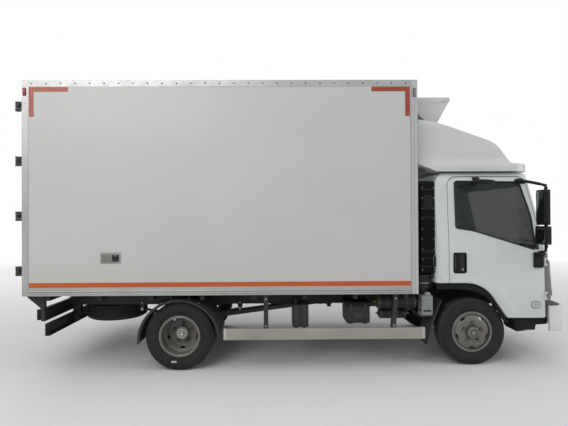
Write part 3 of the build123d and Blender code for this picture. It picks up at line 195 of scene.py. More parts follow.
DUST = (0.3, 0.27, 0.23)
M = {
    "box": surface("panel_white", (0.64, 0.655, 0.635), 0.42, shade=0.025, scale=0.9, bump=0.05,
                   bump_scale=60, dust=((0.5, 0.47, 0.42), 0.85, 1.25, 0.35), coat=0.15),
    "cab": surface("cab_white", (0.72, 0.765, 0.76), 0.3, shade=0.008, scale=1.2, rough_var=0.015,
                   dust=((0.52, 0.51, 0.47), 0.45, 0.95, 0.35), coat=0.4),
    "bumper": surface("bumper_white", (0.8, 0.815, 0.805), 0.34, shade=0.03, scale=2.0, bump=0.06,
                      bump_scale=150, dust=((0.42, 0.4, 0.36), 0.38, 0.52, 0.3), coat=0.3),
    "spoiler": surface("spoiler_white", (0.68, 0.695, 0.685), 0.33, shade=0.035, scale=1.4, bump=0.05,
                       bump_scale=120, coat=0.35),
    "unit": surface("unit_cover", (0.66, 0.665, 0.66), 0.38, shade=0.04, scale=3.0, bump=0.05,
                    bump_scale=200),
    "alu": surface("trim_alu", (0.56, 0.56, 0.56), 0.42, metallic=0.65, shade=0.1, scale=2.0, bump=0.12,
                   bump_scale=90, stretch=(0.05, 1.0, 1.0), dust=((0.42, 0.39, 0.35), 0.84, 1.0, 0.6)),
    "post": surface("post_cover", (0.58, 0.595, 0.6), 0.4, metallic=0.1, shade=0.04, scale=2.0, bump=0.06,
                    bump_scale=90, coat=0.1),
    "steel": surface("bare_steel", (0.48, 0.48, 0.48), 0.38, metallic=0.85, shade=0.12, scale=5.0, bump=0.12,
                     bump_scale=180),
    "chassis": surface("chassis_black", (0.014, 0.014, 0.016), 0.55, shade=0.25, scale=4.0, bump=0.15,
                       bump_scale=140, dust=(DUST, 0.2, 0.95, 0.2)),
    "cast": surface("cast_iron", (0.045, 0.044, 0.043), 0.62, shade=0.3, scale=6.0, bump=0.3, bump_scale=160,
                    dust=(DUST, 0.2, 0.8, 0.22), spots=((0.13, 0.07, 0.04), 0.6, 0.78)),
    "tank": surface("tank_grey", (0.09, 0.09, 0.093), 0.45, shade=0.15, scale=5.0, bump=0.1, bump_scale=150,
                    dust=(DUST, 0.35, 0.8, 0.25)),
    "rim": surface("rim_grey", (0.215, 0.208, 0.195), 0.55, metallic=0.25, shade=0.16, scale=9.0, bump=0.15,
                   bump_scale=160, spots=((0.105, 0.08, 0.062), 0.52, 0.7)),
    "hub": surface("hub_metal", (0.3, 0.29, 0.27), 0.42, metallic=0.6, shade=0.15, scale=14.0, bump=0.15,
                   bump_scale=200, spots=((0.1, 0.075, 0.06), 0.58, 0.75)),
    "hub_bright": surface("hub_bright", (0.52, 0.51, 0.48), 0.36, metallic=0.65, shade=0.15, scale=14.0,
                          bump=0.15, bump_scale=200, spots=((0.16, 0.12, 0.09), 0.58, 0.75)),
    "tyre": surface("tyre_rubber", (0.024, 0.024, 0.0245), 0.78, shade=0.2, scale=5.0, bump=0.25,
                    bump_scale=260, spots=((0.05, 0.048, 0.044), 0.46, 0.74), specular=0.25),
    "tread": surface("tread_rubber", (0.05, 0.049, 0.048), 0.85, shade=0.22, scale=9.0, bump=0.35,
                     bump_scale=240, spots=((0.11, 0.1, 0.09), 0.45, 0.72), specular=0.25),
    "black": surface("grained_black", (0.01, 0.01, 0.012), 0.55, shade=0.25, scale=6.0, bump=0.25,
                     bump_scale=900, grain="cells", specular=0.28),
    "duct": surface("duct_black", (0.004, 0.004, 0.006), 0.5, shade=0.3, scale=4.0, bump=0.12,
                    bump_scale=300, specular=0.15),
    "gloss_black": surface("gloss_black", (0.012, 0.012, 0.013), 0.18, shade=0.2, scale=4.0, bump=0.03,
                           bump_scale=300, coat=0.4),
    "grey": surface("panel_grey", (0.165, 0.165, 0.165), 0.45, shade=0.12, scale=5.0, bump=0.15,
                    bump_scale=700, grain="cells", dust=(DUST, 0.5, 1.0, 0.25)),
    "guard": surface("guard_grey", (0.42, 0.4, 0.365), 0.5, shade=0.1, scale=3.0, bump=0.08, bump_scale=150,
                     dust=((0.33, 0.3, 0.26), 0.33, 0.5, 0.45), spots=((0.33, 0.3, 0.26), 0.6, 0.8)),
    "guard_cap": surface("guard_cap", (0.55, 0.55, 0.52), 0.5, shade=0.08, scale=9.0, bump=0.1,
                         bump_scale=300),
    "flap": surface("flap_rubber", (0.034, 0.033, 0.032), 0.82, shade=0.3, scale=6.0, bump=0.3,
                    bump_scale=240, dust=(DUST, 0.2, 0.75, 0.2)),
    "seal": surface("seal_rubber", (0.014, 0.014, 0.015), 0.62, shade=0.25, scale=9.0, bump=0.15,
                    bump_scale=500),
    "stripe": surface("stripe_orange", (0.58, 0.115, 0.028), 0.42, shade=0.08, scale=3.0, bump=0.05,
                      bump_scale=300),
    "tape": surface("tape_orange", (0.4, 0.068, 0.03), 0.3, shade=0.1, scale=8.0, bump=0.35, bump_scale=260,
                    grain="cells", coat=0.4),
    # white plastic with a painted shade: its colour is darkened to the shade the bottle lies in under the
    # cab
    "white_plastic": surface("bottle_white", (0.3, 0.325, 0.335), 0.4, shade=0.08, scale=9.0, bump=0.1,
                             bump_scale=260, dust=(DUST, 0.5, 0.95, 0.3)),
    "bottle_cap": surface("bottle_cap", (0.58, 0.6, 0.6), 0.42, shade=0.05, scale=9.0, bump=0.08,
                          bump_scale=260),
    "red": lens("lens_red", (0.42, 0.012, 0.01)),
    "amber": lens("lens_amber", (0.7, 0.2, 0.02)),
    "clear": lens("lens_clear", (0.78, 0.8, 0.8), 0.06, 0.35),
    "mirror": surface("mirror_glass", (0.22, 0.23, 0.24), 0.05, metallic=1.0, shade=0.02, scale=4.0,
                      rough_var=0.02),
    "chrome": surface("lamp_bowl", (0.8, 0.8, 0.8), 0.12, metallic=1.0, shade=0.03, scale=9.0,
                      rough_var=0.05),
    "glass": glass("pane_tinted", (0.022, 0.028, 0.029), 0.03, 0.54),
    "dash": surface("dash_plastic", (0.15, 0.152, 0.158), 0.6, shade=0.1, scale=6.0, bump=0.3,
                    bump_scale=800, grain="cells"),
    "trim_light": surface("lining_grey", (0.33, 0.33, 0.32), 0.75, shade=0.06, scale=6.0, bump=0.2,
                          bump_scale=700, grain="cells"),
    "cloth": surface("seat_cloth", (0.105, 0.105, 0.112), 0.9, shade=0.12, scale=12.0, bump=0.5,
                     bump_scale=330, grain="weave", sheen=0.4, specular=0.2),
    "cloth_side": surface("seat_side", (0.055, 0.055, 0.058), 0.88, shade=0.12, scale=12.0, bump=0.4,
                          bump_scale=420, grain="weave", sheen=0.3, specular=0.2),
    "belt": surface("belt_webbing", (0.03, 0.03, 0.032), 0.8, shade=0.15, scale=30.0, bump=0.5,
                    bump_scale=700, grain="weave", sheen=0.3),
    "floor_alu": surface("floor_alu", (0.55, 0.55, 0.55), 0.45, metallic=0.8, shade=0.08, scale=3.0,
                         bump=0.15, bump_scale=70, stretch=(0.05, 1.0, 1.0)),
    "blank_plate": surface("blank_plate", (0.62, 0.62, 0.6), 0.35, shade=0.04, scale=9.0, bump=0.05,
                           bump_scale=300),
    "engine": surface("engine_metal", (0.1, 0.1, 0.1), 0.55, metallic=0.5, shade=0.2, scale=7.0, bump=0.3,
                      bump_scale=120, dust=(DUST, 0.3, 0.9, 0.3)),
    "brass": surface("fitting_brass", (0.4, 0.28, 0.12), 0.4, metallic=0.9, shade=0.1, scale=20.0),
    "paint_mark": surface("chalk_mark", (0.55, 0.55, 0.53), 0.8, shade=0.1, scale=40.0, bump=0.2,
                          bump_scale=400),
}

NODE_MATERIALS = {"frame_rails": "chassis", "cross_members": "chassis", "frame_brackets": "chassis",
                  "front_axle": "cast", "rear_axle": "cast", "leaf_springs": "cast", "driveline": "engine",
                  "side_units": "chassis", "fuel_tank": "tank", "silencer": "steel",
                  "coolant_bottle": "white_plastic", "side_guards": "guard", "mudguards": "flap",
                  "spare_tyre": "tyre", "spare_rim": "rim", "rear_bars": "chassis", "rear_lamps": "red",
                  "bumper": "bumper", "box_floor": "floor_alu", "box_sides": "box", "box_front": "box",
                  "box_roof": "box", "rear_frame": "steel", "box_trims": "alu", "cooling_unit": "unit",
                  "tie_rod": "cast", "cab_back": "cab", "cab_front": "cab", "cab_roof": "cab",
                  "cab_floor": "chassis", "cab_glass": "glass", "nose_trim": "grey", "headlamps": "clear",
                  "spoiler": "spoiler", "step_wells": "black", "air_intake": "duct", "cab_interior": "dash",
                  "seats": "cloth", "steering_wheel": "dash", "door": "cab", "door_glass": "glass",
                  "mirrors": "black", "cargo_door": "box", "cargo_locks": "steel", "knuckle": "cast",
                  "front_tyre": "tyre", "front_rim": "rim", "rear_tyres": "tyre", "rear_rims": "rim", }
for name, obj in NODES.items():
    key = name.replace("_left", "").replace("_right", "")
    for place in obj.material_slots:
        place.material = M[NODE_MATERIALS[key]]


# Mesh building

class Piece:
    """Collects solids into one mesh with several finishes, then hangs it on a body."""

    def __init__(self):
        self.mesh = bmesh.new()
        self.finishes = []

    def put(self, verts, faces, finish, bevel=0.0, segments=2, limit=25, move=None):
        """Add one closed solid, with its sharp edges rounded."""
        part = bmesh.new()
        made = [part.verts.new(v) for v in verts]
        for face in faces:
            part.faces.new([made[i] for i in face])
        bmesh.ops.recalc_face_normals(part, faces=part.faces)
        if bevel:
            sharp = [e for e in part.edges
                     if len(e.link_faces) == 2 and e.calc_face_angle(0) > math.radians(limit)]
            bmesh.ops.bevel(part, geom=sharp, offset=bevel, segments=segments, profile=0.5, affect="EDGES",
                            clamp_overlap=True)
        if move is not None:
            part.transform(move)
            if move.determinant() < 0:
                bmesh.ops.reverse_faces(part, faces=part.faces)
        if finish not in self.finishes:
            self.finishes.append(finish)
        for face in part.faces:
            face.material_index = self.finishes.index(finish)
        mesh = bpy.data.meshes.new("part")
        part.to_mesh(mesh)
        part.free()
        self.mesh.from_mesh(mesh)
        bpy.data.meshes.remove(mesh)

    def box(self, low, high, finish, bevel=0.002, segments=2, move=None):
        """Box with rounded edges."""
        (x0, y0, z0), (x1, y1, z1) = [[f(a, b) for a, b in zip(low, high)] for f in (min, max)]
        verts = [(x, y, z) for x in (x0, x1) for y in (y0, y1) for z in (z0, z1)]
        faces = [(0, 1, 3, 2), (4, 6, 7, 5), (0, 4, 5, 1), (2, 3, 7, 6), (0, 2, 6, 4), (1, 5, 7, 3)]
        self.put(verts, faces, finish, bevel, segments, move=move)

    def prism(self, points, axis, low, high, finish, bevel=0.002, segments=2, move=None):
        """Straight prism; the points lie in the two other axes, in X, Y, Z order."""
        def spot(a, b, c):
            return {"x": (c, a, b), "y": (a, c, b), "z": (a, b, c)}[axis]
        count = len(points)
        verts = [spot(a, b, low) for a, b in points] + [spot(a, b, high) for a, b in points]
        faces = [tuple(range(count)), tuple(range(2 * count - 1, count - 1, -1))]
        faces += [(i, (i + 1) % count, count + (i + 1) % count, count + i) for i in range(count)]
        self.put(verts, faces, finish, bevel, segments, move=move)

    def lathe(self, profile, centre, axis, finish, count=48, closed=True, bevel=0.0, move=None):
        """Ring of a (distance along the axis, radius) outline."""
        basis = turn_to(axis)
        verts, faces = [], []
        ends = len(profile)
        for i in range(count):
            a = 2 * math.pi * i / count
            for t, r in profile:
                verts.append(tuple(Vector(centre) + basis @ Vector((r * math.cos(a), r * math.sin(a), t))))
        for i in range(count):
            j = (i + 1) % count
            for k in range(ends if closed else ends - 1):
                m = (k + 1) % ends
                faces.append((i * ends + k, j * ends + k, j * ends + m, i * ends + m))
        if not closed:
            faces.append(tuple(i * ends for i in range(count)))
            faces.append(tuple(i * ends + ends - 1 for i in reversed(range(count))))
        self.put(verts, faces, finish, bevel, move=move)

    def rod(self, start, end, radius, finish, count=20, bevel=0.0, tip=None, move=None):
        """Round bar between two points."""
        run = Vector(end) - Vector(start)
        self.lathe([(0, radius), (run.length, radius if tip is None else tip)], start, run, finish, count,
                   False, bevel, move)

    def dome(self, centre, axis, radius, height, finish, count=10):
        """Low round head, such as a rivet."""
        self.lathe([(-0.001, radius), (height * 0.55, radius * 0.92), (height, radius * 0.45)], centre, axis,
                   finish, count, False)

    def bolt(self, centre, axis, radius, height, finish):
        """Hexagon head on a washer."""
        self.lathe([(-0.001, radius * 1.35), (height * 0.25, radius * 1.35)], centre, axis, finish, 18,
                   False)
        self.lathe([(0, radius), (height, radius * 0.97)], centre, axis, finish, 6, False, radius * 0.06)

    def tube(self, points, radius, finish, count=12, smooth=6):
        """Pipe along a smooth line through the points."""
        path = curve_through([Vector(p) for p in points], smooth)
        verts, faces = [], []
        normal = None
        for i, point in enumerate(path):
            ahead = (path[min(i + 1, len(path) - 1)] - path[max(i - 1, 0)]).normalized()
            if normal is None:
                normal = ahead.orthogonal().normalized()
            normal = (normal - ahead * normal.dot(ahead)).normalized()
            side = ahead.cross(normal)
            for k in range(count):
                a = 2 * math.pi * k / count
                verts.append(tuple(point + (normal * math.cos(a) + side * math.sin(a)) * radius))
        for i in range(len(path) - 1):
            for k in range(count):
                m = (k + 1) % count
                faces.append((i * count + k, i * count + m, (i + 1) * count + m, (i + 1) * count + k))
        faces.append(tuple(range(count)))
        faces.append(tuple(len(path) * count - 1 - k for k in range(count)))
        self.put(verts, faces, finish)

    def band(self, line, across, thickness, finish, bevel=0.001, segments=1):
        """Strip with a flat section: a list of (low edge, high edge) points and its outward direction."""
        out = Vector(across)
        verts, faces = [], []
        for low, high in line:
            for point in (Vector(low), Vector(high)):
                verts.append(tuple(point))
                verts.append(tuple(point + out * thickness))
        count = len(line)
        for i in range(count - 1):
            a, b = 4 * i, 4 * (i + 1)
            faces += [(a, b, b + 2, a + 2), (a + 1, a + 3, b + 3, b + 1), (a, a + 1, b + 1, b),
                      (a + 2, b + 2, b + 3, a + 3)]
        end = 4 * (count - 1)
        faces += [(0, 2, 3, 1), (end, end + 1, end + 3, end + 2)]
        self.put(verts, faces, finish, bevel, segments, 40)

    def finish(self, name, body, slot, replaces=()):
        """Make the object and hang it on its body; the slot argument is not used."""
        mesh = bpy.data.meshes.new(name)
        for edge in self.mesh.edges:
            edge.smooth = edge.calc_face_angle(0) < math.radians(32)
        for face in self.mesh.faces:
            face.smooth = True
        self.mesh.to_mesh(mesh)
        self.mesh.free()
        for key in self.finishes:
            mesh.materials.append(M[key])
        obj = bpy.data.objects.new(name, mesh)
        bpy.context.scene.collection.objects.link(obj)
        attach(obj, body)
        if replaces:
            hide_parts(*replaces)


def turn_to(axis):
    """Rotation that takes Z to an axis."""
    return Vector((0, 0, 1)).rotation_difference(Vector(axis).normalized()).to_matrix()


def curve_through(points, steps):
    """Smooth line through the points."""
    if steps <= 1 or len(points) < 3:
        return points
    ends = [2 * points[0] - points[1]] + points + [2 * points[-1] - points[-2]]
    line = []
    for p0, p1, p2, p3 in zip(ends, ends[1:], ends[2:], ends[3:]):
        for k in range(steps):
            t = k / steps
            square, cube = 2 * p0 - 5 * p1 + 4 * p2 - p3, 3 * p1 - p0 - 3 * p2 + p3
            line.append(0.5 * (2 * p1 + (p2 - p0) * t + square * t * t + cube * t * t * t))
    return line + [points[-1]]


# Outer surface of the cab: straight sides that lean in above the waist, and a rounded front corner
CAB_HALF = 0.993
WAIST = 1.3
SIDE_LEAN = 0.068 / 0.935
NOSE_X = 0.955
SCREEN_LEAN, APRON_LEAN = 0.2845, 0.07
CORNER_R = 0.17
CORNER_BACK = 0.2077
CORNER_Y = 0.823


def cab_skin(z):
    """Half width of the cab's flat side at a height."""
    return CAB_HALF - SIDE_LEAN * max(z - WAIST, 0.0)


def nose_front(z):
    """Front of the cab's nose at a height, from the front axle."""
    return NOSE_X - (SCREEN_LEAN if z > WAIST else APRON_LEAN) * (z - WAIST)


def skin(x, z):
    """Half width of the cab at a place, with the rounded front corner; x is from the front axle."""
    past = max(x - (nose_front(z) - CORNER_BACK), 0.0)
    return cab_skin(z) - CORNER_R + math.sqrt(max(CORNER_R ** 2 - past ** 2, 0.0))


def rounded(corners, steps=6):
    """Closed outline with its corners rounded; corners are (a, b, radius)."""
    line = []
    count = len(corners)
    for i, (a, b, radius) in enumerate(corners):
        here = Vector((a, b))
        before = Vector(corners[i - 1][:2]) - here
        after = Vector(corners[(i + 1) % count][:2]) - here
        half = before.angle(after) / 2
        reach = min(radius / max(math.tan(half), 1e-3), before.length * 0.49, after.length * 0.49)
        size = reach * math.tan(half)
        before.normalize()
        after.normalize()
        centre = here + (before + after).normalized() * (size / max(math.sin(half), 1e-3))
        start = here + before * reach - centre
        turn = start.angle_signed(here + after * reach - centre)
        for k in range(steps + 1):
            angle = -turn * k / steps
            spin = Matrix.Rotation(angle, 2)
            line.append(tuple(centre + spin @ start))
    return line


def rectangle(a0, a1, b0, b1, radius, steps=6):
    """Closed outline of a rectangle with rounded corners."""
    return rounded([(a0, b0, radius), (a1, b0, radius), (a1, b1, radius), (a0, b1, radius)], steps)


def looped(line):
    """The outline with its first point again at the end, for a tube."""
    return line + line[:1]


def around(centre, radius, count, start=0.0, plane="xz"):
    """Places evenly spaced on a circle in a plane; start is in degrees."""
    places = []
    for k in range(count):
        a = math.radians(start + 360 * k / count)
        place = list(centre)
        place["xyz".index(plane[0])] += radius * math.cos(a)
        place["xyz".index(plane[1])] += radius * math.sin(a)
        places.append(tuple(place))
    return places


def screws(piece, places, axis):
    """Pan head screws with a washer."""
    for place in places:
        piece.lathe([(0, 0.008), (0.002, 0.008), (0.0035, 0.005)], place, axis, "steel", 14, False)


def bolts(piece, places, axis, radius=0.009, height=0.006, finish="steel"):
    """Row of hexagon heads."""
    for place in places:
        piece.bolt(place, axis, radius, height, finish)


# Tyres

def tyre_section():
    """Half section of the carcass from the bead to the shoulder, with raised rings on the sidewall."""
    base = [(0.2345, 0.0797), (0.25, 0.088), (0.268, 0.0957), (0.288, 0.1016), (0.308, 0.1046),
            (0.326, 0.1044), (0.344, 0.1016), (0.359, 0.0955), (0.369, 0.088)]
    rings = (0.256, 0.309, 0.342)
    radii = {0.2345 + 0.1345 * k / 24 for k in range(25)}
    for ring in rings:
        radii = {r for r in radii if abs(r - ring) > 0.0028}
        radii |= {ring - 0.0026, ring - 0.0014, ring + 0.0014, ring + 0.0026}
    section = [(0.0797, 0.2225)]
    for r in sorted(radii):
        for (r0, t0), (r1, t1) in zip(base, base[1:]):
            if r0 <= r <= r1 + 1e-9:
                t = t0 + (t1 - t0) * (r - r0) / (r1 - r0)
                break
        if any(abs(r - ring) < 0.002 for ring in rings):
            t += 0.0012
        section.append((min(t, 0.1054), r))
    return section


def add_tyre(piece, centre, axis, style):
    """Tyre with rings on its sidewalls and cut tread blocks."""
    half = tyre_section()
    profile = [(-t, r) for t, r in reversed(half)] + half
    piece.lathe(profile, centre, axis, "tyre", 96)
    basis = turn_to(axis)
    hub = Vector(centre)

    def at(angle, radius, across):
        return tuple(hub + basis @ Vector((radius * math.cos(angle), radius * math.sin(angle), across)))

    verts, faces = [], []
    low, top = 0.3675, TYRE_R
    if style == "ribs":
        rows = ((-0.0855, -0.053), (-0.0445, -0.0185), (-0.01, 0.01), (0.0185, 0.0445), (0.053, 0.0855))
        steps = 128
        for row, (y0, y1) in enumerate(rows):
            first = len(verts)
            for k in range(steps):
                angle = 2 * math.pi * k / steps
                zig = 0.0028 if k % 2 else -0.0028
                a = y0 + (0 if row == 0 else zig)
                b = y1 + (0 if row == 4 else zig)
                ra_top = top - (0.0045 if row == 0 else 0)
                rb_top = top - (0.0045 if row == 4 else 0)
                wide = 0.0012
                verts += [at(angle, low, a - wide), at(angle, ra_top, a), at(angle, rb_top, b),
                          at(angle, low, b + wide)]
            for k in range(steps):
                m = (k + 1) % steps
                for c in range(4):
                    d = (c + 1) % 4
                    faces.append((first + 4 * k + c, first + 4 * m + c, first + 4 * m + d,
                                  first + 4 * k + d))
    else:
        rows = ((-0.086, -0.048), (-0.041, -0.004), (0.004, 0.041), (0.048, 0.086))
        pitches = 56
        for row, (y0, y1) in enumerate(rows):
            for k in range(pitches):
                start = 2 * math.pi * (k + (0.5 if row % 2 else 0.0)) / pitches
                span = 2 * math.pi / pitches
                a0, a1 = start + span * 0.08, start + span * 0.9
                skew = span * (0.16 if row in (1, 2) else 0.06) * (1 if row < 2 else -1)
                drop0 = 0.005 if row == 0 else 0.0
                drop1 = 0.005 if row == 3 else 0.0
                f = len(verts)
                for angle, y, r_top in ((a0, y0, top - drop0), (a0 + skew, y1, top - drop1),
                                        (a1 + skew, y1, top - drop1), (a1, y0, top - drop0)):
                    verts.append(at(angle, low, y))
                    verts.append(at(angle, r_top, y))
                faces += [(f, f + 2, f + 4, f + 6), (f + 1, f + 7, f + 5, f + 3), (f, f + 1, f + 3, f + 2),
                          (f + 2, f + 3, f + 5, f + 4), (f + 4, f + 5, f + 7, f + 6),
                          (f + 6, f + 7, f + 1, f)]
    piece.put(verts, faces, "tread")


for side, s in SIDES:
    piece = Piece()
    add_tyre(piece, (FRONT_AXLE, FRONT_HALF_TRACK * s, TYRE_R), (0, s, 0), "ribs")
    piece.finish("tyre_tread_front_" + side, "wheel_front_" + side, "tyre_rubber", ["front_tyre_" + side])
    piece = Piece()
    for y in (REAR_INNER, REAR_OUTER):
        add_tyre(piece, (REAR_AXLE, y * s, TYRE_R), (0, s, 0), "blocks")
    piece.finish("tyre_tread_rear_" + side, "wheel_rear_" + side, "tyre_rubber", ["rear_tyres_" + side])
low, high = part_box("spare_tyre")
spare = (low + high) / 2
piece = Piece()
add_tyre(piece, spare, (0, 0, 1), "blocks")
piece.finish("tyre_tread_spare", "chassis", "tyre_rubber", ["spare_tyre"])


# Wheel trims: valves, lock rings, hubs, wheel nuts and balance weights

LOCK_RING = [(0.081, 0.206), (0.0905, 0.2085), (0.0925, 0.212), (0.0905, 0.215), (0.081, 0.215)]
FRONT_HUB = (([(0.135, 0.03), (0.1425, 0.03), (0.1425, 0.044), (0.14, 0.047), (0.135, 0.047)], "cast", 32,
              True), ([(0.126, 0.0295), (0.1385, 0.0295), (0.1405, 0.02), (0.141, 0.0)], "hub", 32, False),
             ([(0.094, 0.068), (0.103, 0.07), (0.103, 0.08), (0.094, 0.084)], "cast", 40, True))
REAR_HUB = (([(0.0, 0.0), (0.006, 0.01), (0.01, 0.018), (0.008, 0.024), (0.0, 0.026)], "hub_bright", 24,
             True), ([(-0.004, 0.046), (0.003, 0.046), (0.003, 0.056), (-0.004, 0.058)], "hub_bright", 40,
                     True))


def wheel_nuts(piece, x, y, s, seat):
    """Five nuts on their cupped seats."""
    for spot in around((x, y, TYRE_R), 0.104, 5, 90):
        piece.lathe([(0, 0.009), (0.012, 0.009), (0.014, 0.007)], spot, (0, s, 0), "cast", 12, False)
        piece.lathe(seat, spot, (0, s, 0), "cast", 18)


for side, s in SIDES:
    piece = Piece()
    x, y, z, way = FRONT_AXLE, FRONT_HALF_TRACK * s, TYRE_R, (0, s, 0)
    piece.lathe(LOCK_RING, (x, y, z), way, "hub", 64)
    for profile, finish, count, closed in FRONT_HUB:
        piece.lathe(profile, (x, y, z), way, finish, count, closed)
    wheel_nuts(piece, x, y + 0.119 * s, s, [(-0.025, 0.0135), (-0.0225, 0.023), (-0.0195, 0.023),
                                            (-0.019, 0.0135)])
    piece.tube([(x + 0.19, y + 0.062 * s, z), (x + 0.183, y + 0.086 * s, z), (x + 0.172, y + 0.098 * s, z)],
               0.0045, "brass", 10, 4)
    piece.box((x - 0.02, y + 0.0895 * s, z - 0.228), (x + 0.02, y + 0.0935 * s, z - 0.215), "hub", 0.001)
    piece.finish("wheel_trim_front_" + side, "wheel_front_" + side, "rim_paint")

    piece = Piece()
    x, y = REAR_AXLE, REAR_OUTER * s
    piece.lathe(LOCK_RING, (x, y, z), way, "hub", 64)
    end = (x, (REAR_MIDDLE + 0.084) * s, z)
    bolts(piece, around(end, 0.038, 8, 22.5), way, 0.007, 0.007, "hub_bright")
    for profile, finish, count, closed in REAR_HUB:
        piece.lathe(profile, end, way, finish, count, closed)
    wheel_nuts(piece, x, (REAR_MIDDLE + 0.032) * s, s,
               [(-0.0235, 0.0135), (-0.0215, 0.023), (-0.0175, 0.023), (-0.017, 0.0135)])
    piece.tube([(x + 0.195, 0.905 * s, z), (x + 0.18, 0.935 * s, z), (x + 0.168, 0.975 * s, z)], 0.0045,
               "brass", 10, 4)
    if side == "right":
        piece.box((x - 0.088, y - 0.106, z - 0.29), (x - 0.03, y - 0.1025, z - 0.268), "paint_mark", 0.001,
                  1)
    piece.finish("wheel_trim_rear_" + side, "wheel_rear_" + side, "rim_paint")


# Box body: stripes, corner tapes, rivets, lamps and the latch plate

TAIL, BOX_NOSE = ra(-1.716), ra(2.675)
BOX_LOW, BOX_TOP = 0.852, 3.242
BOX_HALF = 1.1
WALL = 1.097

piece = Piece()
for side, s in SIDES:
    y0, y1 = (WALL - 0.0005) * s, (WALL + 0.0012) * s
    piece.box((TAIL + 0.075, y0, 0.9445), (BOX_NOSE - 0.082, y1, 0.998), "stripe", 0.0003, 1)
piece.finish("side_stripes", "chassis", "box_panel")

piece = Piece()
TAPE_TOP = 3.166
for side, s in SIDES:
    y0, y1 = (WALL - 0.0005) * s, (WALL + 0.0014) * s
    for edge, way in ((TAIL + 0.078, 1), (BOX_NOSE - 0.085, -1)):
        piece.box((edge, y0, TAPE_TOP - 0.052), (edge + 0.43 * way, y1, TAPE_TOP), "tape", 0.0003, 1)
        piece.box((edge, y0, TAPE_TOP - 0.33), (edge + 0.052 * way, y1, TAPE_TOP - 0.0525), "tape", 0.0003,
                  1)
piece.finish("corner_tapes", "chassis", "box_panel")

piece = Piece()
for side, s in SIDES:
    way = (0, s, 0)
    count = 27
    for k in range(count):
        x = TAIL + 0.11 + (BOX_NOSE - TAIL - 0.24) * k / (count - 1)
        piece.dome((x, BOX_HALF * s, 3.205), way, 0.0085, 0.004, "cast")
        piece.dome((x, 1.098 * s, 0.928), way, 0.006, 0.003, "alu")
    for k in range(21):
        z = 0.9 + 2.28 * k / 20
        piece.dome((BOX_NOSE - 0.055, BOX_HALF * s, z), way, 0.0055, 0.0035, "alu")
        piece.dome((BOX_NOSE - 0.018, BOX_HALF * s, z), way, 0.004, 0.0025, "alu")
        piece.dome((BOX_NOSE, 1.072 * s, z), (1, 0, 0), 0.005, 0.003, "alu")
for k in range(15):
    y = -0.98 + 1.96 * k / 14
    piece.dome((BOX_NOSE, y, 3.205), (1, 0, 0), 0.006, 0.0035, "alu")
piece.finish("box_rivets", "chassis", "box_trim")

# Rear posts and rails: a rolled bead that covers each joint of the wall and the frame
piece = Piece()
for side, s in SIDES:
    piece.prism([(TAIL + 0.002, 1.0965 * s), (TAIL + 0.074, 1.0965 * s), (TAIL + 0.074, 1.0995 * s),
                 (TAIL + 0.04, 1.101 * s), (TAIL + 0.002, 1.101 * s)], "z", BOX_LOW + 0.002, BOX_TOP - 0.002,
                "alu", 0.0006, 1)
    for k in range(24):
        z = 0.9 + 2.29 * k / 23
        piece.dome((TAIL + 0.058, BOX_HALF * s, z), (0, s, 0), 0.005, 0.003, "alu")
    piece.box((BOX_NOSE - 0.075, 1.098 * s, BOX_LOW + 0.001),
              (BOX_NOSE - 0.066, 1.1006 * s, BOX_TOP - 0.075), "alu", 0.0004, 1)
    piece.box((BOX_NOSE - 0.064, 1.0985 * s, BOX_LOW + 0.001),
              (BOX_NOSE - 0.003, 1.1004 * s, BOX_TOP - 0.003), "post", 0.0006, 1)
    piece.box((BOX_NOSE - 0.0385, BOX_HALF * s, BOX_LOW + 0.001),
              (BOX_NOSE - 0.0365, 1.1008 * s, BOX_TOP - 0.075), "seal", 0.0002, 1)
    for z in (0.8705, 0.893):
        piece.box((TAIL + 0.077, 1.0985 * s, z), (BOX_NOSE - 0.077, 1.1006 * s, z + 0.003), "seal", 0.0003,
                  1)
piece.finish("post_covers", "chassis", "box_trim")

# Latch plate low on both walls
piece = Piece()
for side, s in SIDES:
    x0, x1 = ra(-0.857), ra(-0.626)
    y = WALL * s
    plate = rectangle(x0, x1, 1.205, 1.333, 0.012, 4)
    piece.prism(plate, "y", y - 0.0005 * s, y + 0.002 * s, "steel", 0.0006, 1)
    inner = rectangle(x0 + 0.014, x1 - 0.014, 1.219, 1.319, 0.01, 4)
    piece.prism(inner, "y", y, y + 0.0026 * s, "hub", 0.0008, 2)
    latch = rectangle(x1 - 0.098, x1 - 0.026, 1.232, 1.308, 0.012, 4)
    piece.prism(latch, "y", y, y + 0.0065 * s, "gloss_black", 0.0015, 2)
    piece.prism(rectangle(x1 - 0.088, x1 - 0.036, 1.262, 1.279, 0.006, 3), "y", y, y + 0.0115 * s, "black",
                0.0015, 2)
    piece.lathe([(0, 0.0075), (0.0085, 0.0075), (0.0095, 0.006)], (x1 - 0.062, y, 1.295), (0, s, 0), "steel",
                16, False)
    for x in (x0 + 0.008, x1 - 0.008):
        for z in (1.213, 1.325):
            piece.dome((x, y + 0.0018 * s, z), (0, s, 0), 0.0035, 0.0018, "steel")
piece.finish("latch_plates", "chassis", "bare_steel")

# Marker lamps: red at the tail, clear at the nose

def marker(piece, x, y, z, w, h, finish):
    """Small side lamp on a black base."""
    s = math.copysign(1, y)
    base = (0.0, 0.008, 0.0028, 0.005, "black", 0.0015, 2)
    cover = (0.005, 0.007, 0.0, 0.016, finish, 0.004, 3)
    for less, radius, low, high, tone, bevel, segments in (base, cover):
        shape = rectangle(x - w + less, x + w - less, z - h + less, z + h - less, radius, 4)
        piece.prism(shape, "y", y - low * s, y + high * s, tone, bevel, segments)


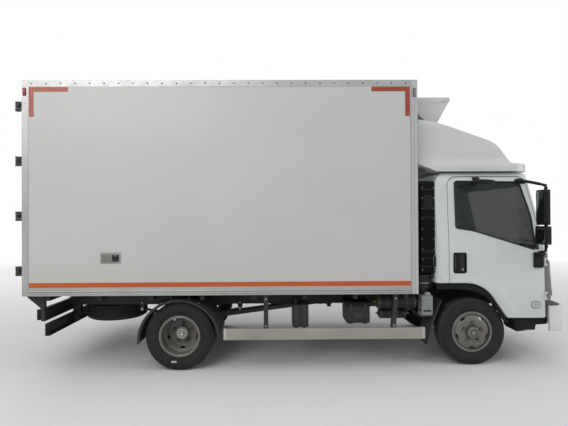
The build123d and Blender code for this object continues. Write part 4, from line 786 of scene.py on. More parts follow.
piece = Piece()
for side, s in SIDES:
    marker(piece, TAIL + 0.03, BOX_HALF * s, 3.115, 0.019, 0.045, "red")
    marker(piece, BOX_NOSE - 0.035, BOX_HALF * s, 3.1, 0.017, 0.048, "clear")
for y in (-0.9, 0.9):
    piece.box((TAIL - 0.004, y - 0.045, 3.18), (TAIL + 0.002, y + 0.045, 3.212), "black", 0.002)
    piece.box((TAIL - 0.014, y - 0.04, 3.184), (TAIL, y + 0.04, 3.208), "red", 0.004, 3)
for y in (-0.95, 0.95):
    piece.box((BOX_NOSE - 0.002, y - 0.045, 3.185), (BOX_NOSE + 0.005, y + 0.045, 3.217), "black", 0.002)
    piece.box((BOX_NOSE, y - 0.04, 3.189), (BOX_NOSE + 0.014, y + 0.04, 3.213), "clear", 0.004, 3)
piece.finish("marker_lamps", "chassis", "lamp_red")

# Roof: two seams with raised beads
piece = Piece()
for x in (ra(-0.25), ra(1.21)):
    piece.box((x - 0.025, -1.03, BOX_TOP - 0.004), (x + 0.025, 1.03, BOX_TOP - 0.001), "alu", 0.001)
piece.finish("roof_seams", "chassis", "box_trim")

# Load space: rubbing strips, floor ribs, lamps
piece = Piece()
x0, x1 = -2.95, 1.255
for k in range(38):
    y = -1.018 + 0.055 * k
    piece.box((x0, y, 0.9495), (x1, y + 0.018, 0.9545), "floor_alu", 0.001, 1)
for side, s in SIDES:
    for z in (1.3, 1.9):
        piece.box((x0, 1.0405 * s, z), (x1, 1.028 * s, z + 0.09), "floor_alu", 0.003)
    piece.box((x0, 1.0405 * s, 0.955), (x1, 1.026 * s, 1.13), "floor_alu", 0.003)
for x in (-2.2, -0.6, 0.6):
    piece.box((x - 0.18, -0.06, 3.1625), (x + 0.18, 0.06, 3.142), "clear", 0.006, 3)
    piece.box((x - 0.19, -0.07, 3.1625), (x + 0.19, 0.07, 3.156), "black", 0.002)
piece.finish("load_fittings", "chassis", "box_trim")


# Cab sides: window seals, handles, arch flares, side repeaters and inner panels

WINDOW = [(-0.198, 2.12, 0.035), (-0.197, 1.581, 0.03), (0.015, 1.546, 0.25), (0.714, 1.325, 0.025),
          (0.671, 1.725, 0.7), (0.553, 2.107, 0.07)]
WINDOW_FRONT = WINDOW[3]


def side_line(points, s, out=0.0):
    """Points on the cab's skin from places in the side view."""
    return [(fa(x), (skin(x, z) + out) * s, z) for x, z in points]


def arch_low(x):
    """Height of the door's wheel arch edge; x is from the front axle."""
    if x < -0.099:
        return 0.953
    if x < 0.228:
        return 0.558 + math.sqrt(0.395 ** 2 - (x + 0.099) ** 2)
    return 0.779 - (x - 0.228) * 0.829 / 0.559


CREASE = [(-0.434, 1.03), (-0.288, 1.03), (-0.086, 1.022), (0.06, 1.003), (0.19, 0.955), (0.319, 0.862),
          (0.415, 0.752), (0.496, 0.642), (0.545, 0.5545)]
EDGE = [-0.434, -0.288, -0.084, 0.02, 0.118, 0.216, 0.284, 0.34, 0.3795]


def flare_line(first, last, s, steps=6):
    """Pairs of points along the arch edge and the crease above it."""
    pairs = []
    lows = curve_through([Vector((x, arch_low(x), 0)) for x in EDGE], steps)
    highs = curve_through([Vector((x, z, 0)) for x, z in CREASE], steps)
    for low, high in zip(lows, highs):
        if first <= low.x <= last:
            z = max(arch_low(low.x), 0.5545)
            pairs.append(((fa(low.x), (skin(low.x, z) - 0.001) * s, z + 0.001),
                          (fa(high.x), (skin(high.x, high.y) - 0.001) * s, max(high.y, 0.556))))
    return pairs


for side, s in SIDES:
    piece = Piece()
    outline = rounded(WINDOW, 8)
    loop = side_line(looped(outline), s, 0.0005)
    piece.tube(loop, 0.0085, "seal", 8, 1)
    # handle pocket
    x0, x1, z0, z1 = -0.233, -0.086, 1.067, 1.296
    piece.box((fa(x0), 0.9705 * s, z0), (fa(x1), 0.9725 * s, z1), "gloss_black", 0.0005, 1)
    for low, high in (((x0, z0), (x0 + 0.003, z1)), ((x1 - 0.003, z0), (x1, z1)),
                      ((x0, z0), (x1, z0 + 0.003)), ((x0, z1 - 0.003), (x1, z1))):
        piece.box((fa(low[0]), 0.971 * s, low[1]), (fa(high[0]), CAB_HALF * s, high[1]), "black", 0.0005, 1)
    rim = rectangle(x0, x1, z0, z1, 0.02, 6)
    piece.tube([(fa(x), 0.9925 * s, z) for x, z in looped(rim)], 0.0045, "black", 8, 1)
    grip = rectangle(-0.209, -0.16, 1.08, 1.285, 0.012, 5)
    piece.prism([(fa(x), z) for x, z in grip], "y", 0.988 * s, 0.9935 * s, "black", 0.0025, 2)
    piece.lathe([(0, 0.012), (0.006, 0.012), (0.008, 0.009)], (fa(-0.118), 0.9725 * s, 1.105), (0, s, 0),
                "steel", 20, False)
    # arch flare with its crease
    piece.band(flare_line(-0.2795, 0.4, s), (0, s, 0), 0.0098, "cab", 0.0046, 3)
    # black border of the pane along the front pillar
    border = []
    for k in range(21):
        z = 1.33 + 0.78 * k / 20
        inner = WINDOW_FRONT[0] + (z - 1.325) * -0.1075
        if z > 1.62:
            inner -= 0.315 * (z - 1.62) ** 2
        border.append(((fa(inner), (skin(inner, z) - 0.0008) * s, z),
                       (fa(inner + 0.037), (skin(inner + 0.037, z) - 0.0008) * s, z)))
    piece.band(border, (0, s, 0), 0.0022, "gloss_black", 0.0008, 1)
    # side repeater
    oval = [(fa(0.709 + 0.057 * math.copysign(abs(math.cos(a)) ** 0.7, math.cos(a))),
             0.7 + 0.043 * math.copysign(abs(math.sin(a)) ** 0.7, math.sin(a)))
            for a in [2 * math.pi * k / 40 for k in range(40)]]
    small = [(fa(0.709) + (x - fa(0.709)) * 0.86, 0.7 + (z - 0.7) * 0.83) for x, z in oval]
    deep = [(fa(0.709) + (x - fa(0.709)) * 0.6, 0.7 + (z - 0.7) * 0.5) for x, z in oval]
    y = CAB_HALF * s
    piece.prism(oval, "y", y - 0.004 * s, y + 0.0035 * s, "grey", 0.0015, 2)
    piece.prism(small, "y", y, y + 0.005 * s, "chrome", 0.001, 1)
    piece.prism(deep, "y", y, y + 0.0072 * s, "hub", 0.002, 2)
    piece.prism(small, "y", y + 0.0076 * s, y + 0.011 * s, "clear", 0.0016, 2)
    # inner panel, arm rest, pull and window switch
    panel = [(-0.262, 0.975), (0.1, 0.975), (0.235, 0.86), (0.395, 0.6), (0.7, 0.6), (0.7, 1.29),
             (0.02, 1.5), (-0.262, 1.53)]
    piece.prism([(fa(x), z) for x, z in panel], "y", 0.9435 * s, 0.936 * s, "dash", 0.003, 2)
    piece.box((fa(-0.18), 0.936 * s, 1.345), (fa(0.3), 0.88 * s, 1.375), "dash", 0.01, 3)
    piece.box((fa(0.12), 0.884 * s, 1.374), (fa(0.24), 0.925 * s, 1.38), "gloss_black", 0.003)
    piece.box((fa(-0.14), 0.936 * s, 1.08), (fa(0.4), 0.905 * s, 1.095), "dash", 0.004)
    piece.box((fa(-0.14), 0.909 * s, 1.08), (fa(0.4), 0.905 * s, 1.18), "dash", 0.002)
    piece.tube([(fa(0.33), 0.935 * s, 1.25), (fa(0.36), 0.895 * s, 1.27), (fa(0.44), 0.89 * s, 1.3),
                (fa(0.49), 0.934 * s, 1.315)], 0.01, "dash", 12)
    # foot seal
    piece.box((fa(0.4), 0.99 * s, 0.5525), (fa(0.8), 0.955 * s, 0.5475), "seal", 0.001, 1)
    piece.finish("door_trim_" + side, "door_" + side, "cab_paint")

    # parts of the side that stay on the cab
    piece = Piece()
    start = [((fa(-0.372), 0.992 * s, 0.955), (fa(-0.372), 0.992 * s, 1.03)),
             ((fa(-0.2885), 0.992 * s, 0.955), (fa(-0.2885), 0.992 * s, 1.03))]
    piece.band(start, (0, s, 0), 0.0098, "cab", 0.0046, 3)
    # weatherstrip in the shut line of the door
    shut = rounded([(-0.2835, 0.9, 0.001), (-0.2835, 2.1735, 0.112), (0.6085, 2.1735, 0.1),
                    (0.741, 1.62, 0.7), (0.815, 1.22, 0.2), (0.815, 0.5, 0.001)], 8)
    shut = [p for p in shut if p[1] > 0.955 or (p[0] > 0.5 and p[1] > 0.56)]
    shut.append((0.815, 0.765))
    piece.tube([(fa(x), (skin(x, z) - 0.0052) * s, z) for x, z in shut], 0.0026, "seal", 8, 1)
    lip_low = [(-0.42, 0.878), (-0.241, 0.878), (-0.078, 0.868), (0.068, 0.835), (0.165, 0.775),
               (0.262, 0.668), (0.33, 0.556), (0.372, 0.49)]
    lip_high = [(-0.42, 0.944), (-0.241, 0.944), (-0.084, 0.942), (0.07, 0.905), (0.19, 0.808), (0.3, 0.655),
                (0.352, 0.57), (0.408, 0.493)]
    lows = curve_through([Vector((x, z, 0)) for x, z in lip_low], 6)
    highs = curve_through([Vector((x, z, 0)) for x, z in lip_high], 6)
    line = [((fa(a.x), 0.951 * s, a.y), (fa(b.x), 0.951 * s, b.y)) for a, b in zip(lows, highs)]
    piece.band(line, (0, s, 0), 0.02, "black", 0.004, 2)
    inner_line = [((fa(a.x), 0.925 * s, a.y), (fa(a.x), 0.955 * s, a.y + 0.001)) for a in lows]
    piece.band(inner_line, (0, 0, 1), 0.004, "black", 0.001, 1)
    # latch bracket on the rear corner
    piece.box((fa(-0.452), 0.94 * s, 1.115), (fa(-0.428), 0.972 * s, 1.276), "black", 0.005, 2)
    piece.rod((fa(-0.446), 0.956 * s, 1.14), (fa(-0.446), 0.956 * s, 1.25), 0.009, "steel", 16, 0.002)
    for z in (1.13, 1.262):
        piece.bolt((fa(-0.44), 0.972 * s, z), (0, s, 0), 0.006, 0.005, "steel")
    piece.finish("arch_lip_" + side, "cab", "black_plastic")

# Mirrors: glass, clamps and foot bolts

for side, s in SIDES:
    piece = Piece()
    for z0, z1, reach, depth in ((1.614, 2.005, 1.22, 0.062), (1.398, 1.6, 1.236, 0.074)):
        x = fa(0.752 - depth)
        for edge, lift, finish in ((0.014, 0.003, "gloss_black"), (0.02, 0.0042, "mirror")):
            shape = rectangle((1.026 + edge) * s, (reach - edge) * s, z0 + edge, z1 - edge, 0.03, 6)
            piece.prism(shape, "x", x - lift, x + 0.001, finish, 0.0008, 2)
        hood = rectangle(1.05 * s, (reach - 0.026) * s, z0 + 0.024, z1 - 0.024, 0.035, 6)
        piece.prism(hood, "x", fa(0.75), fa(0.7565), "black", 0.005, 3)
    for z in (1.375, 1.607, 2.022):
        piece.lathe([(-0.014, 0.011), (-0.014, 0.018), (0.014, 0.018), (0.014, 0.011)],
                    (fa(0.752), 1.12 * s, z), (0, 0, 1), "black", 24, True, 0.002)
    for z in (1.15, 1.275):
        for dx in (0.7, 0.765):
            piece.dome((fa(dx), 1.0145 * s, z), (0, s, 0), 0.006, 0.004, "black", 14)
    arm = [Vector((fa(0.5), 0.951 * s, 2.123)), Vector((fa(0.56), 0.957 * s, 2.121)),
           Vector((fa(0.64), 1.01 * s, 2.1)), Vector((fa(0.715), 1.08 * s, 2.072)),
           Vector((fa(0.75), 1.118 * s, 2.05))]
    for size, part in ((0.017, arm[:4]), (0.0145, arm[2:])):
        piece.tube(part, size, "black", 14, 6)
    piece.tube([Vector((fa(0.722), 1.014 * s, 1.255)), Vector((fa(0.735), 1.085 * s, 1.262)),
                Vector((fa(0.742), 1.112 * s, 1.3)), Vector((fa(0.742), 1.118 * s, 1.395))], 0.007, "black",
               10, 6)
    boot = [(0.0, 0.024), (0.018, 0.026), (0.04, 0.019), (0.062, 0.0125)]
    piece.lathe(boot, (fa(0.742), 1.005 * s, 1.285), (0.35, 1.1 * s, 0.55), "seal", 20, False)
    if side == "right":
        tilt = Matrix.Translation((fa(0.055), -1.13, 2.076)) @ Matrix.Rotation(math.radians(12), 4, "X")
        ring = [(0.112 * math.cos(2 * math.pi * k / 48) * 0.93,
                 0.078 * math.sin(2 * math.pi * k / 48) * 0.93) for k in range(48)]
        piece.prism(ring, "z", -0.0016, 0.001, "mirror", 0.0005, 1, tilt)
        rim_ring = [(a * 1.06, b * 1.06) for a, b in ring]
        piece.prism(rim_ring, "z", 0.001, 0.006, "gloss_black", 0.002, 2, tilt)
        crown = [(a * 0.82, b * 0.82) for a, b in ring]
        piece.prism(crown, "z", 0.036, 0.0435, "black", 0.005, 3, tilt)
        for dx in (-0.02, 0.02):
            piece.bolt((fa(0.055) + dx, -0.945, 2.158), (0, 0, 1), 0.005, 0.005, "steel")
    piece.finish("mirror_trim_" + side, "door_" + side, "black_plastic")


# Nose: windscreen seal, cowl, wipers, grille slats, headlamps and their corner lamps

NOSE_SWEEP = 0.0754


def screen_x(y, z, out=0.0):
    """X of the nose or windscreen surface from the front axle."""
    a = abs(y)
    if a < 0.18:
        back = 0.0
    elif a < 0.48:
        back = (a - 0.18) ** 2 / 8.0
    else:
        back = 0.01125 + NOSE_SWEEP * (a - 0.48)
    return nose_front(z) - back + out


def corner(angle, z, out=0.0):
    """Point on the rounded front corner, from 0 degrees at the side to 86 at the front."""
    a = math.radians(angle)
    reach = CORNER_R + out
    return nose_front(z) - CORNER_BACK + reach * math.sin(a), CORNER_Y + reach * math.cos(a)


piece = Piece()
frame_line = rounded([(-0.86, 1.345, 0.06), (0.86, 1.345, 0.06), (0.8, 2.085, 0.08), (-0.8, 2.085, 0.08)], 8)
fine = []
for (y0, z0), (y1, z1) in zip(frame_line, frame_line[1:] + frame_line[:1]):
    count = max(1, int(math.hypot(y1 - y0, z1 - z0) / 0.06))
    fine += [(y0 + (y1 - y0) * k / count, z0 + (z1 - z0) * k / count) for k in range(count)]


def nose_point(y, z, out=0.0):
    """Point on the nose, also round its corners."""
    if abs(y) < 0.835:
        return (fa(screen_x(y, z, out)), y, z)
    a = math.degrees(math.acos(min((abs(y) - CORNER_Y) / CORNER_R, 1.0)))
    x, _ = corner(a, z, out)
    return (fa(x), y, z)


piece.tube([nose_point(y, z, -0.004) for y, z in looped(fine)], 0.011, "seal", 8, 1)
cowl = []
for k in range(33):
    y = -0.8 + 1.6 * k / 32
    cowl.append((nose_point(y, 1.232, -0.001), nose_point(y, 1.326, -0.001)))
piece.band(cowl, (1, 0, 0.25), 0.007, "black", 0.0015, 1)
for row in range(3):
    z = 1.252 + 0.024 * row
    strip = [(nose_point(-0.72 + 1.44 * k / 24, z, 0.005),
              nose_point(-0.72 + 1.44 * k / 24, z + 0.008, 0.005)) for k in range(25)]
    piece.band(strip, (1, 0, 0.25), 0.0045, "seal", 0.001, 1)
for pivot, reach in ((0.56, 0.5), (-0.06, 0.52)):
    base = Vector(nose_point(pivot, 1.3, 0.006))
    piece.lathe([(0, 0.022), (0.01, 0.022), (0.02, 0.015), (0.026, 0.012)], base, (1, 0, 0.25), "black", 24,
                False)
    tip = Vector(nose_point(pivot - 0.36, 1.4, 0.03))
    knee = Vector(nose_point(pivot - 0.05, 1.318, 0.03))
    piece.tube([base + Vector((0.016, 0, 0.004)), knee, (knee + tip) / 2 + Vector((0.004, 0, 0.002)), tip],
               0.0052, "black", 10, 5)
    blade = [Vector(nose_point(pivot - 0.36 + reach * (k / 10 - 0.5), 1.4 - 0.01 * (k / 10 - 0.5), 0.014))
             for k in range(11)]
    piece.tube(blade, 0.0046, "seal", 8, 2)
    piece.tube([p + Vector((0.009, 0, 0.001)) for p in blade[1:-1]], 0.0042, "black", 8, 2)
    for k in (2, 4, 6, 8):
        piece.box(tuple(blade[k] + Vector((-0.002, -0.008, -0.006))),
                  tuple(blade[k] + Vector((0.014, 0.008, 0.006))), "black", 0.002, 1)
piece.finish("wipers_cowl", "cab", "black_plastic")

piece = Piece()
for z in (0.835, 0.88, 0.925, 0.97, 1.015):
    slat = [(nose_point(-0.515 + 1.03 * k / 24, z + 0.002, 0.004),
             nose_point(-0.515 + 1.03 * k / 24, z + 0.019, 0.008)) for k in range(25)]
    piece.band(slat, (1, 0, 0), 0.003, "seal", 0.0008, 1)
for z in (0.794, 1.056):
    edge = [nose_point(-0.555 + 1.11 * k / 24, z, 0.0105) for k in range(25)]
    piece.tube(edge, 0.0045, "black", 8, 1)
piece.finish("grille_slats", "cab", "grey_plastic")

LAMP_OUT = 0.0125
for side, s in SIDES:
    piece = Piece()
    for y, z, r in ((0.788, 1.085, 0.066), (0.788, 0.925, 0.068)):
        spot = (fa(screen_x(y, z)) + LAMP_OUT, y * s, z)
        way = (1, NOSE_SWEEP * s, APRON_LEAN)
        piece.lathe([(0, r), (0.006, r), (0.0075, r - 0.004), (0.002, r - 0.012), (0.001, 0.02),
                     (0.0, 0.02)], spot, way, "chrome", 48)
        piece.lathe([(0, 0.019), (0.005, 0.018), (0.01, 0.011)], spot, way, "gloss_black", 24, False)
        piece.lathe([(0.0078, r - 0.003), (0.0125, r - 0.01), (0.0165, r * 0.55), (0.0175, 0.004),
                     (0.016, 0.0), (0.015, r * 0.5), (0.0115, r - 0.012)], spot, way, "clear", 48)
    frame_pts = rectangle(0.682, 0.872, 0.782, 1.188, 0.02, 5)
    piece.tube([nose_point(y * s, zz, LAMP_OUT) for y, zz in looped(frame_pts)], 0.005, "black", 8, 1)
    for low, high, finish in ((0.792, 0.842, "amber"), (0.85, 1.18, "clear")):
        band = []
        for k in range(13):
            a = 84 - 26 * k / 12
            (xa, ya), (xb, yb) = corner(a, low, LAMP_OUT), corner(a, high, LAMP_OUT)
            band.append(((fa(xa), ya * s, low), (fa(xb), yb * s, high)))
        piece.band(band, (0.85, 0.52 * s, 0), 0.004, finish, 0.0015, 1)
    for k in range(14):
        z = 0.862 + 0.024 * k
        rib = [corner(84 - 26 * m / 8, z, LAMP_OUT + 0.004) for m in range(9)]
        piece.tube([(fa(xa), ya * s, z) for xa, ya in rib], 0.0014, "clear", 6, 1)
    piece.finish("headlamp_" + side, "cab", "lamp_clear")

# Bumper: fog lamps, intake mesh, blank plate and the pads on its ends

BUMPER_SWEEP = 0.0934


def bumper_x(y):
    """X of the bumper's face from the front axle."""
    return 1.11 - BUMPER_SWEEP * max(abs(y) - 0.52, 0.0)


piece = Piece()
for s in (1, -1):
    y = 0.74 * s
    x = fa(bumper_x(y)) + 0.002
    way = (1, BUMPER_SWEEP * s, 0)
    frame_pts = rectangle(-0.085, 0.085, 0.47, 0.59, 0.02, 5)
    spin = Matrix.Translation((x, y, 0)) @ Matrix.Rotation(math.atan2(BUMPER_SWEEP * s, 1), 4, "Z")
    piece.prism(frame_pts, "x", -0.008, 0.0015, "black", 0.003, 2, spin)
    piece.lathe([(0.0015, 0.045), (0.004, 0.045), (0.002, 0.036), (0.0015, 0.012)], (x, y, 0.53), way,
                "chrome", 36)
    piece.lathe([(0.0045, 0.044), (0.006, 0.038), (0.0065, 0.004), (0.005, 0.0), (0.0045, 0.038)],
                (x, y, 0.53), way, "clear", 36)
for z in (0.512, 0.531, 0.55, 0.569):
    piece.box((fa(1.086), -0.296, z), (fa(1.094), 0.296, z + 0.008), "black", 0.002, 1)
for k in range(15):
    y = -0.28 + 0.04 * k
    piece.box((fa(1.083), y - 0.003, 0.502), (fa(1.087), y + 0.003, 0.588), "black", 0.001, 1)
piece.box((fa(1.093), -0.262, 0.503), (fa(1.096), 0.262, 0.587), "black", 0.001, 1)
piece.box((fa(1.095), -0.256, 0.508), (fa(1.098), 0.256, 0.582), "blank_plate", 0.0008, 1)
for s in (1, -1):
    turn = [math.radians(6 * k) for k in range(9)]
    outer = [(0.864, 0.9975)] + [(0.878 + 0.1655 * math.sin(a), 0.832 + 0.1655 * math.cos(a)) for a in turn]
    inner = [(0.864, 0.9785)] + [(0.878 + 0.1465 * math.sin(a), 0.832 + 0.1465 * math.cos(a)) for a in turn]
    pad = [((fa(xa), ya * s, 0.6885), (fa(xb), yb * s, 0.6885)) for (xa, ya), (xb, yb) in zip(outer, inner)]
    piece.band(pad, (0, 0, 1), 0.004, "black", 0.001, 1)
piece.finish("bumper_trim", "chassis", "black_plastic")


# Seats: padded cushions swelled by pressure between their seams

def pad_mesh(low, high):
    """Closed box of quads with rounded edges."""
    size = [b - a for a, b in zip(low, high)]
    grid = bmesh.new()
    bmesh.ops.create_cube(grid, size=1.0)
    for vert in grid.verts:
        vert.co = Vector([a + (c + 0.5) * d for a, c, d in zip(low, vert.co, size)])
    bmesh.ops.bevel(grid, geom=grid.edges[:], offset=min(size) * 0.26, segments=4, profile=0.6,
                    affect="EDGES")
    mesh = bpy.data.meshes.new("pad")
    grid.to_mesh(mesh)
    grid.free()
    return mesh


def evaluated(obj):
    """Mesh of an object with its modifiers applied."""
    bpy.context.view_layer.update()
    graph = bpy.context.evaluated_depsgraph_get()
    return bpy.data.meshes.new_from_object(obj.evaluated_get(graph))


def smooth_step(value, low, high):
    """Soft step from 0 to 1."""
    t = min(max((value - low) / (high - low), 0.0), 1.0)
    return t * t * (3 - 2 * t)


PADS = []


def make_pad(name, low, high, finish, seams, cap, lean=0.0, fill=0.6):
    """Pad whose seams are held while the rest swells; seams are (axis, place) lines on its soft face."""
    obj = bpy.data.objects.new(name, pad_mesh(low, high))
    bpy.context.scene.collection.objects.link(obj)
    remesh = obj.modifiers.new("remesh", "REMESH")
    remesh.mode = "VOXEL"
    remesh.voxel_size = 0.0085
    obj.data = evaluated(obj)
    obj.modifiers.clear()
    held = obj.vertex_groups.new(name="held")
    for vert in obj.data.vertices:
        near = min([abs(vert.co[axis] - place) for axis, place in seams] or [1.0])
        if near < 0.006:
            held.add([vert.index], 1.0, "REPLACE")
    PADS.append((obj, low, high, finish, seams, cap, lean, fill, [v.co.copy() for v in obj.data.vertices]))


BENCHES = (("driver", 0.2, 0.74, (0.47,)), ("bench", -0.83, -0.09, (-0.645, -0.275)))
for label, y0, y1, heads in BENCHES:
    centre = [(1, (y0 + y1) / 2)] if label == "bench" else []
    make_pad("seat_cushion_" + label, (fa(-0.322), y0 + 0.008, 1.274), (fa(0.202), y1 - 0.008, 1.398),
             "cloth", [(1, y0 + 0.095), (1, y1 - 0.095)] + centre + [(0, fa(0.12)), (0, fa(-0.12))], 0.01)
    make_pad("seat_back_" + label, (-0.06, y0 + 0.028, 0.008), (0.052, y1 - 0.028, 0.47), "cloth",
             [(1, y0 + 0.11), (1, y1 - 0.11)] + centre + [(2, 0.15), (2, 0.33)], 0.01, 1.0)
    for k, middle in enumerate(heads):
        make_pad("head_rest_" + label + str(k), (-0.035, middle - 0.118, 0.496),
                 (0.038, middle + 0.118, 0.64), "cloth_side", [], 0.008, 1.0, 0.8)

scene = bpy.context.scene
for obj, *_ in PADS:
    cloth = obj.modifiers.new("cloth", "CLOTH")
    cloth.settings.use_pressure = True
    cloth.settings.uniform_pressure_force = 4.0
    cloth.settings.effector_weights.gravity = 0.0
    cloth.settings.vertex_group_mass = "held"
    cloth.settings.quality = 4
    cloth.collision_settings.use_collision = False
    cloth.point_cache.frame_end = 20
for number in range(1, 21):
    scene.frame_set(number)
for obj, low, high, finish, seams, cap, lean, fill, rest in PADS:
    obj.data = evaluated(obj)
    obj.modifiers.clear()
    scene.frame_set(1)
    middle = (Vector(low) + Vector(high)) / 2
    for vert, start in zip(obj.data.vertices, rest):
        moved = vert.co - start
        if moved.length > cap:
            vert.co = start + moved * (cap / moved.length)
        near = min([abs(start[axis] - place) for axis, place in seams] or [1.0])
        sink = 0.009 * (1 - smooth_step(near, 0.003, 0.015))
        away = Vector([c / max(b - a, 1e-3) for c, a, b in zip(start - middle, low, high)])
        biggest = max(range(3), key=lambda i: abs(away[i]))
        push = Vector((0, 0, 0))
        push[biggest] = math.copysign(1.0, away[biggest])
        vert.co -= push * sink
        if lean:
            x, y, z = vert.co
            vert.co = Vector((fa(-0.268) - 0.075 * z / 0.47 * lean + x, y, 1.392 + z))
    finer = obj.modifiers.new("finer", "SUBSURF")
    finer.levels = 1
    finer.render_levels = 1
    obj.data = evaluated(obj)
    obj.modifiers.clear()
    obj.vertex_groups.clear()
    for face in obj.data.polygons:
        face.use_smooth = True
    obj.data.materials.clear()
    obj.data.materials.append(M[finish])
    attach(obj, "cab")
    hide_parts("seats")

piece = Piece()
for label, y0, y1, heads in BENCHES:
    for middle in heads:
        for dy in (-0.055, 0.055):
            piece.rod((fa(-0.343), middle + dy, 1.85), (fa(-0.35), middle + dy, 1.9), 0.006, "steel", 12)
    # piping along the seams of the cushion
    for x in (fa(0.12), fa(-0.12)):
        line = [(x, y0 + 0.03 + (y1 - y0 - 0.06) * k / 12, 1.3935) for k in range(13)]
        piece.tube(line, 0.0028, "cloth_side", 8, 1)
    piece.box((fa(-0.2), y0 - 0.012, 1.285), (fa(-0.02), y0 - 0.002, 1.33), "black", 0.005)
    for y in (y0 + 0.07, y1 - 0.07):
        piece.box((fa(-0.3), y - 0.018, 1.262), (fa(0.16), y + 0.018, 1.2735), "steel", 0.003)
for s in (1, -1):
    # belt from its upper anchor on the pillar down to the reel
    piece.box((fa(-0.379), 0.848 * s, 1.93), (fa(-0.368), 0.895 * s, 1.985), "black", 0.006)
    piece.box((fa(-0.3775), 0.85 * s, 1.12), (fa(-0.3745), 0.896 * s, 1.935), "belt", 0.0006, 1)
    piece.box((fa(-0.382), 0.835 * s, 1.04), (fa(-0.33), 0.905 * s, 1.13), "black", 0.008)
for y in (0.165, -0.06, -0.46):
    piece.box((fa(-0.17), y - 0.014, 1.3), (fa(-0.13), y + 0.014, 1.425), "black", 0.006)
    piece.box((fa(-0.165), y - 0.01, 1.418), (fa(-0.135), y + 0.01, 1.428), "red", 0.002)
piece.finish("seat_fittings", "cab", "interior_plastic")


# Dashboard: hood and dials, vents, centre panel, levers, linings

piece = Piece()
piece.prism([(fa(0.7), 1.25), (fa(0.815), 1.33), (fa(0.8), 1.4), (fa(0.73), 1.412), (fa(0.64), 1.385),
             (fa(0.652), 1.34)], "y", 0.29, 0.64, "dash", 0.012, 3)
piece.box((fa(0.6475), 0.315, 1.292), (fa(0.656), 0.615, 1.388), "gloss_black", 0.003)
for y, z, r, tip, finish in ((0.395, 1.342, 0.042, 1.375, "blank_plate"),
                             (0.535, 1.342, 0.042, 1.375, "blank_plate"),
                             (0.465, 1.318, 0.02, 1.332, "dash")):
    piece.lathe([(0, r), (0.004, r), (0.005, r - 0.004), (0.002, r - 0.008), (0.001, 0.0)],
                (fa(0.648), y, z), (-1, 0, 0.12), finish, 36)
    piece.box((fa(0.644), y - 0.0012, z), (fa(0.6425), y + 0.0012, tip), "red", 0.0004, 1)
for y in (0.72, 0.22, -0.04, -0.72):
    piece.box((fa(0.653), y - 0.06, 1.205), (fa(0.639), y + 0.06, 1.262), "black", 0.004)
    for k in range(5):
        z = 1.212 + 0.011 * k
        piece.box((fa(0.637), y - 0.052, z), (fa(0.645), y + 0.052, z + 0.004), "dash", 0.001, 1)
piece.box((fa(0.65), -0.03, 1.06), (fa(0.628), 0.2, 1.195), "gloss_black", 0.006)
for row in range(3):
    z = 1.078 + 0.038 * row
    piece.box((fa(0.629), -0.015, z), (fa(0.626), 0.185, z + 0.028), "dash", 0.003)
    for k in range(3):
        piece.lathe([(0, 0.01), (0.01, 0.0085), (0.012, 0.006)], (fa(0.6265), 0.02 + 0.065 * k, z + 0.014),
                    (-1, 0, 0), "black", 20, False)
piece.box((fa(0.655), -0.76, 1.1), (fa(0.64), -0.33, 1.19), "dash", 0.006)
piece.box((fa(0.6425), -0.6, 1.15), (fa(0.635), -0.5, 1.164), "black", 0.003)
boot = (fa(0.5), 0.15, 0.985)
piece.lathe([(0.0, 0.075), (0.03, 0.07), (0.06, 0.045), (0.12, 0.03), (0.17, 0.016)], boot, (-0.1, 0, 1),
            "seal", 28, False)
piece.tube([(fa(0.49), 0.15, 1.13), (fa(0.47), 0.15, 1.26), (fa(0.455), 0.15, 1.38)], 0.009, "steel", 12, 4)
piece.lathe([(-0.028, 0.0), (-0.028, 0.014), (-0.01, 0.024), (0.01, 0.025), (0.024, 0.016), (0.028, 0.0)],
            (fa(0.452), 0.15, 1.4), (-0.1, 0, 1), "gloss_black", 28)
piece.tube([(fa(0.02), 0.12, 1.1), (fa(0.1), 0.12, 1.22), (fa(0.2), 0.12, 1.27)], 0.012, "black", 14, 4)
for y in (0.56, 0.45, 0.35):
    piece.box((fa(0.745), y - 0.028, 1.02), (fa(0.757), y + 0.028, 1.085), "seal", 0.004)
    piece.tube([(fa(0.757), y, 1.06), (fa(0.79), y, 1.11), (fa(0.8), y, 1.2)], 0.007, "chassis", 10, 4)
for s in (1, -1):
    piece.tube([(fa(0.545), 0.46 + 0.055 * s, 1.395), (fa(0.535), 0.46 + 0.13 * s, 1.4),
                (fa(0.52), 0.46 + 0.19 * s, 1.412)], 0.0075, "black", 12, 4)
    piece.prism([(fa(0.395), 0.6 * s), (fa(0.395), 0.12 * s), (fa(0.305), 0.14 * s), (fa(0.305), 0.58 * s)],
                "z", 2.128, 2.146, "trim_light", 0.006, 2)
piece.box((fa(0.36), -0.055, 2.04), (fa(0.372), 0.055, 2.085), "mirror", 0.002)
piece.box((fa(0.3725), -0.12, 2.035), (fa(0.392), 0.12, 2.092), "black", 0.01, 3)
piece.rod((fa(0.385), 0, 2.085), (fa(0.395), 0, 2.155), 0.008, "black", 12)
piece.box((fa(-0.25), -0.12, 2.168), (fa(-0.05), 0.12, 2.188), "clear", 0.006, 3)
piece.box((fa(0.23), -0.9, 0.985), (fa(0.75), 0.9, 0.9905), "seal", 0.003)
piece.finish("dash_fittings", "cab", "interior_plastic")

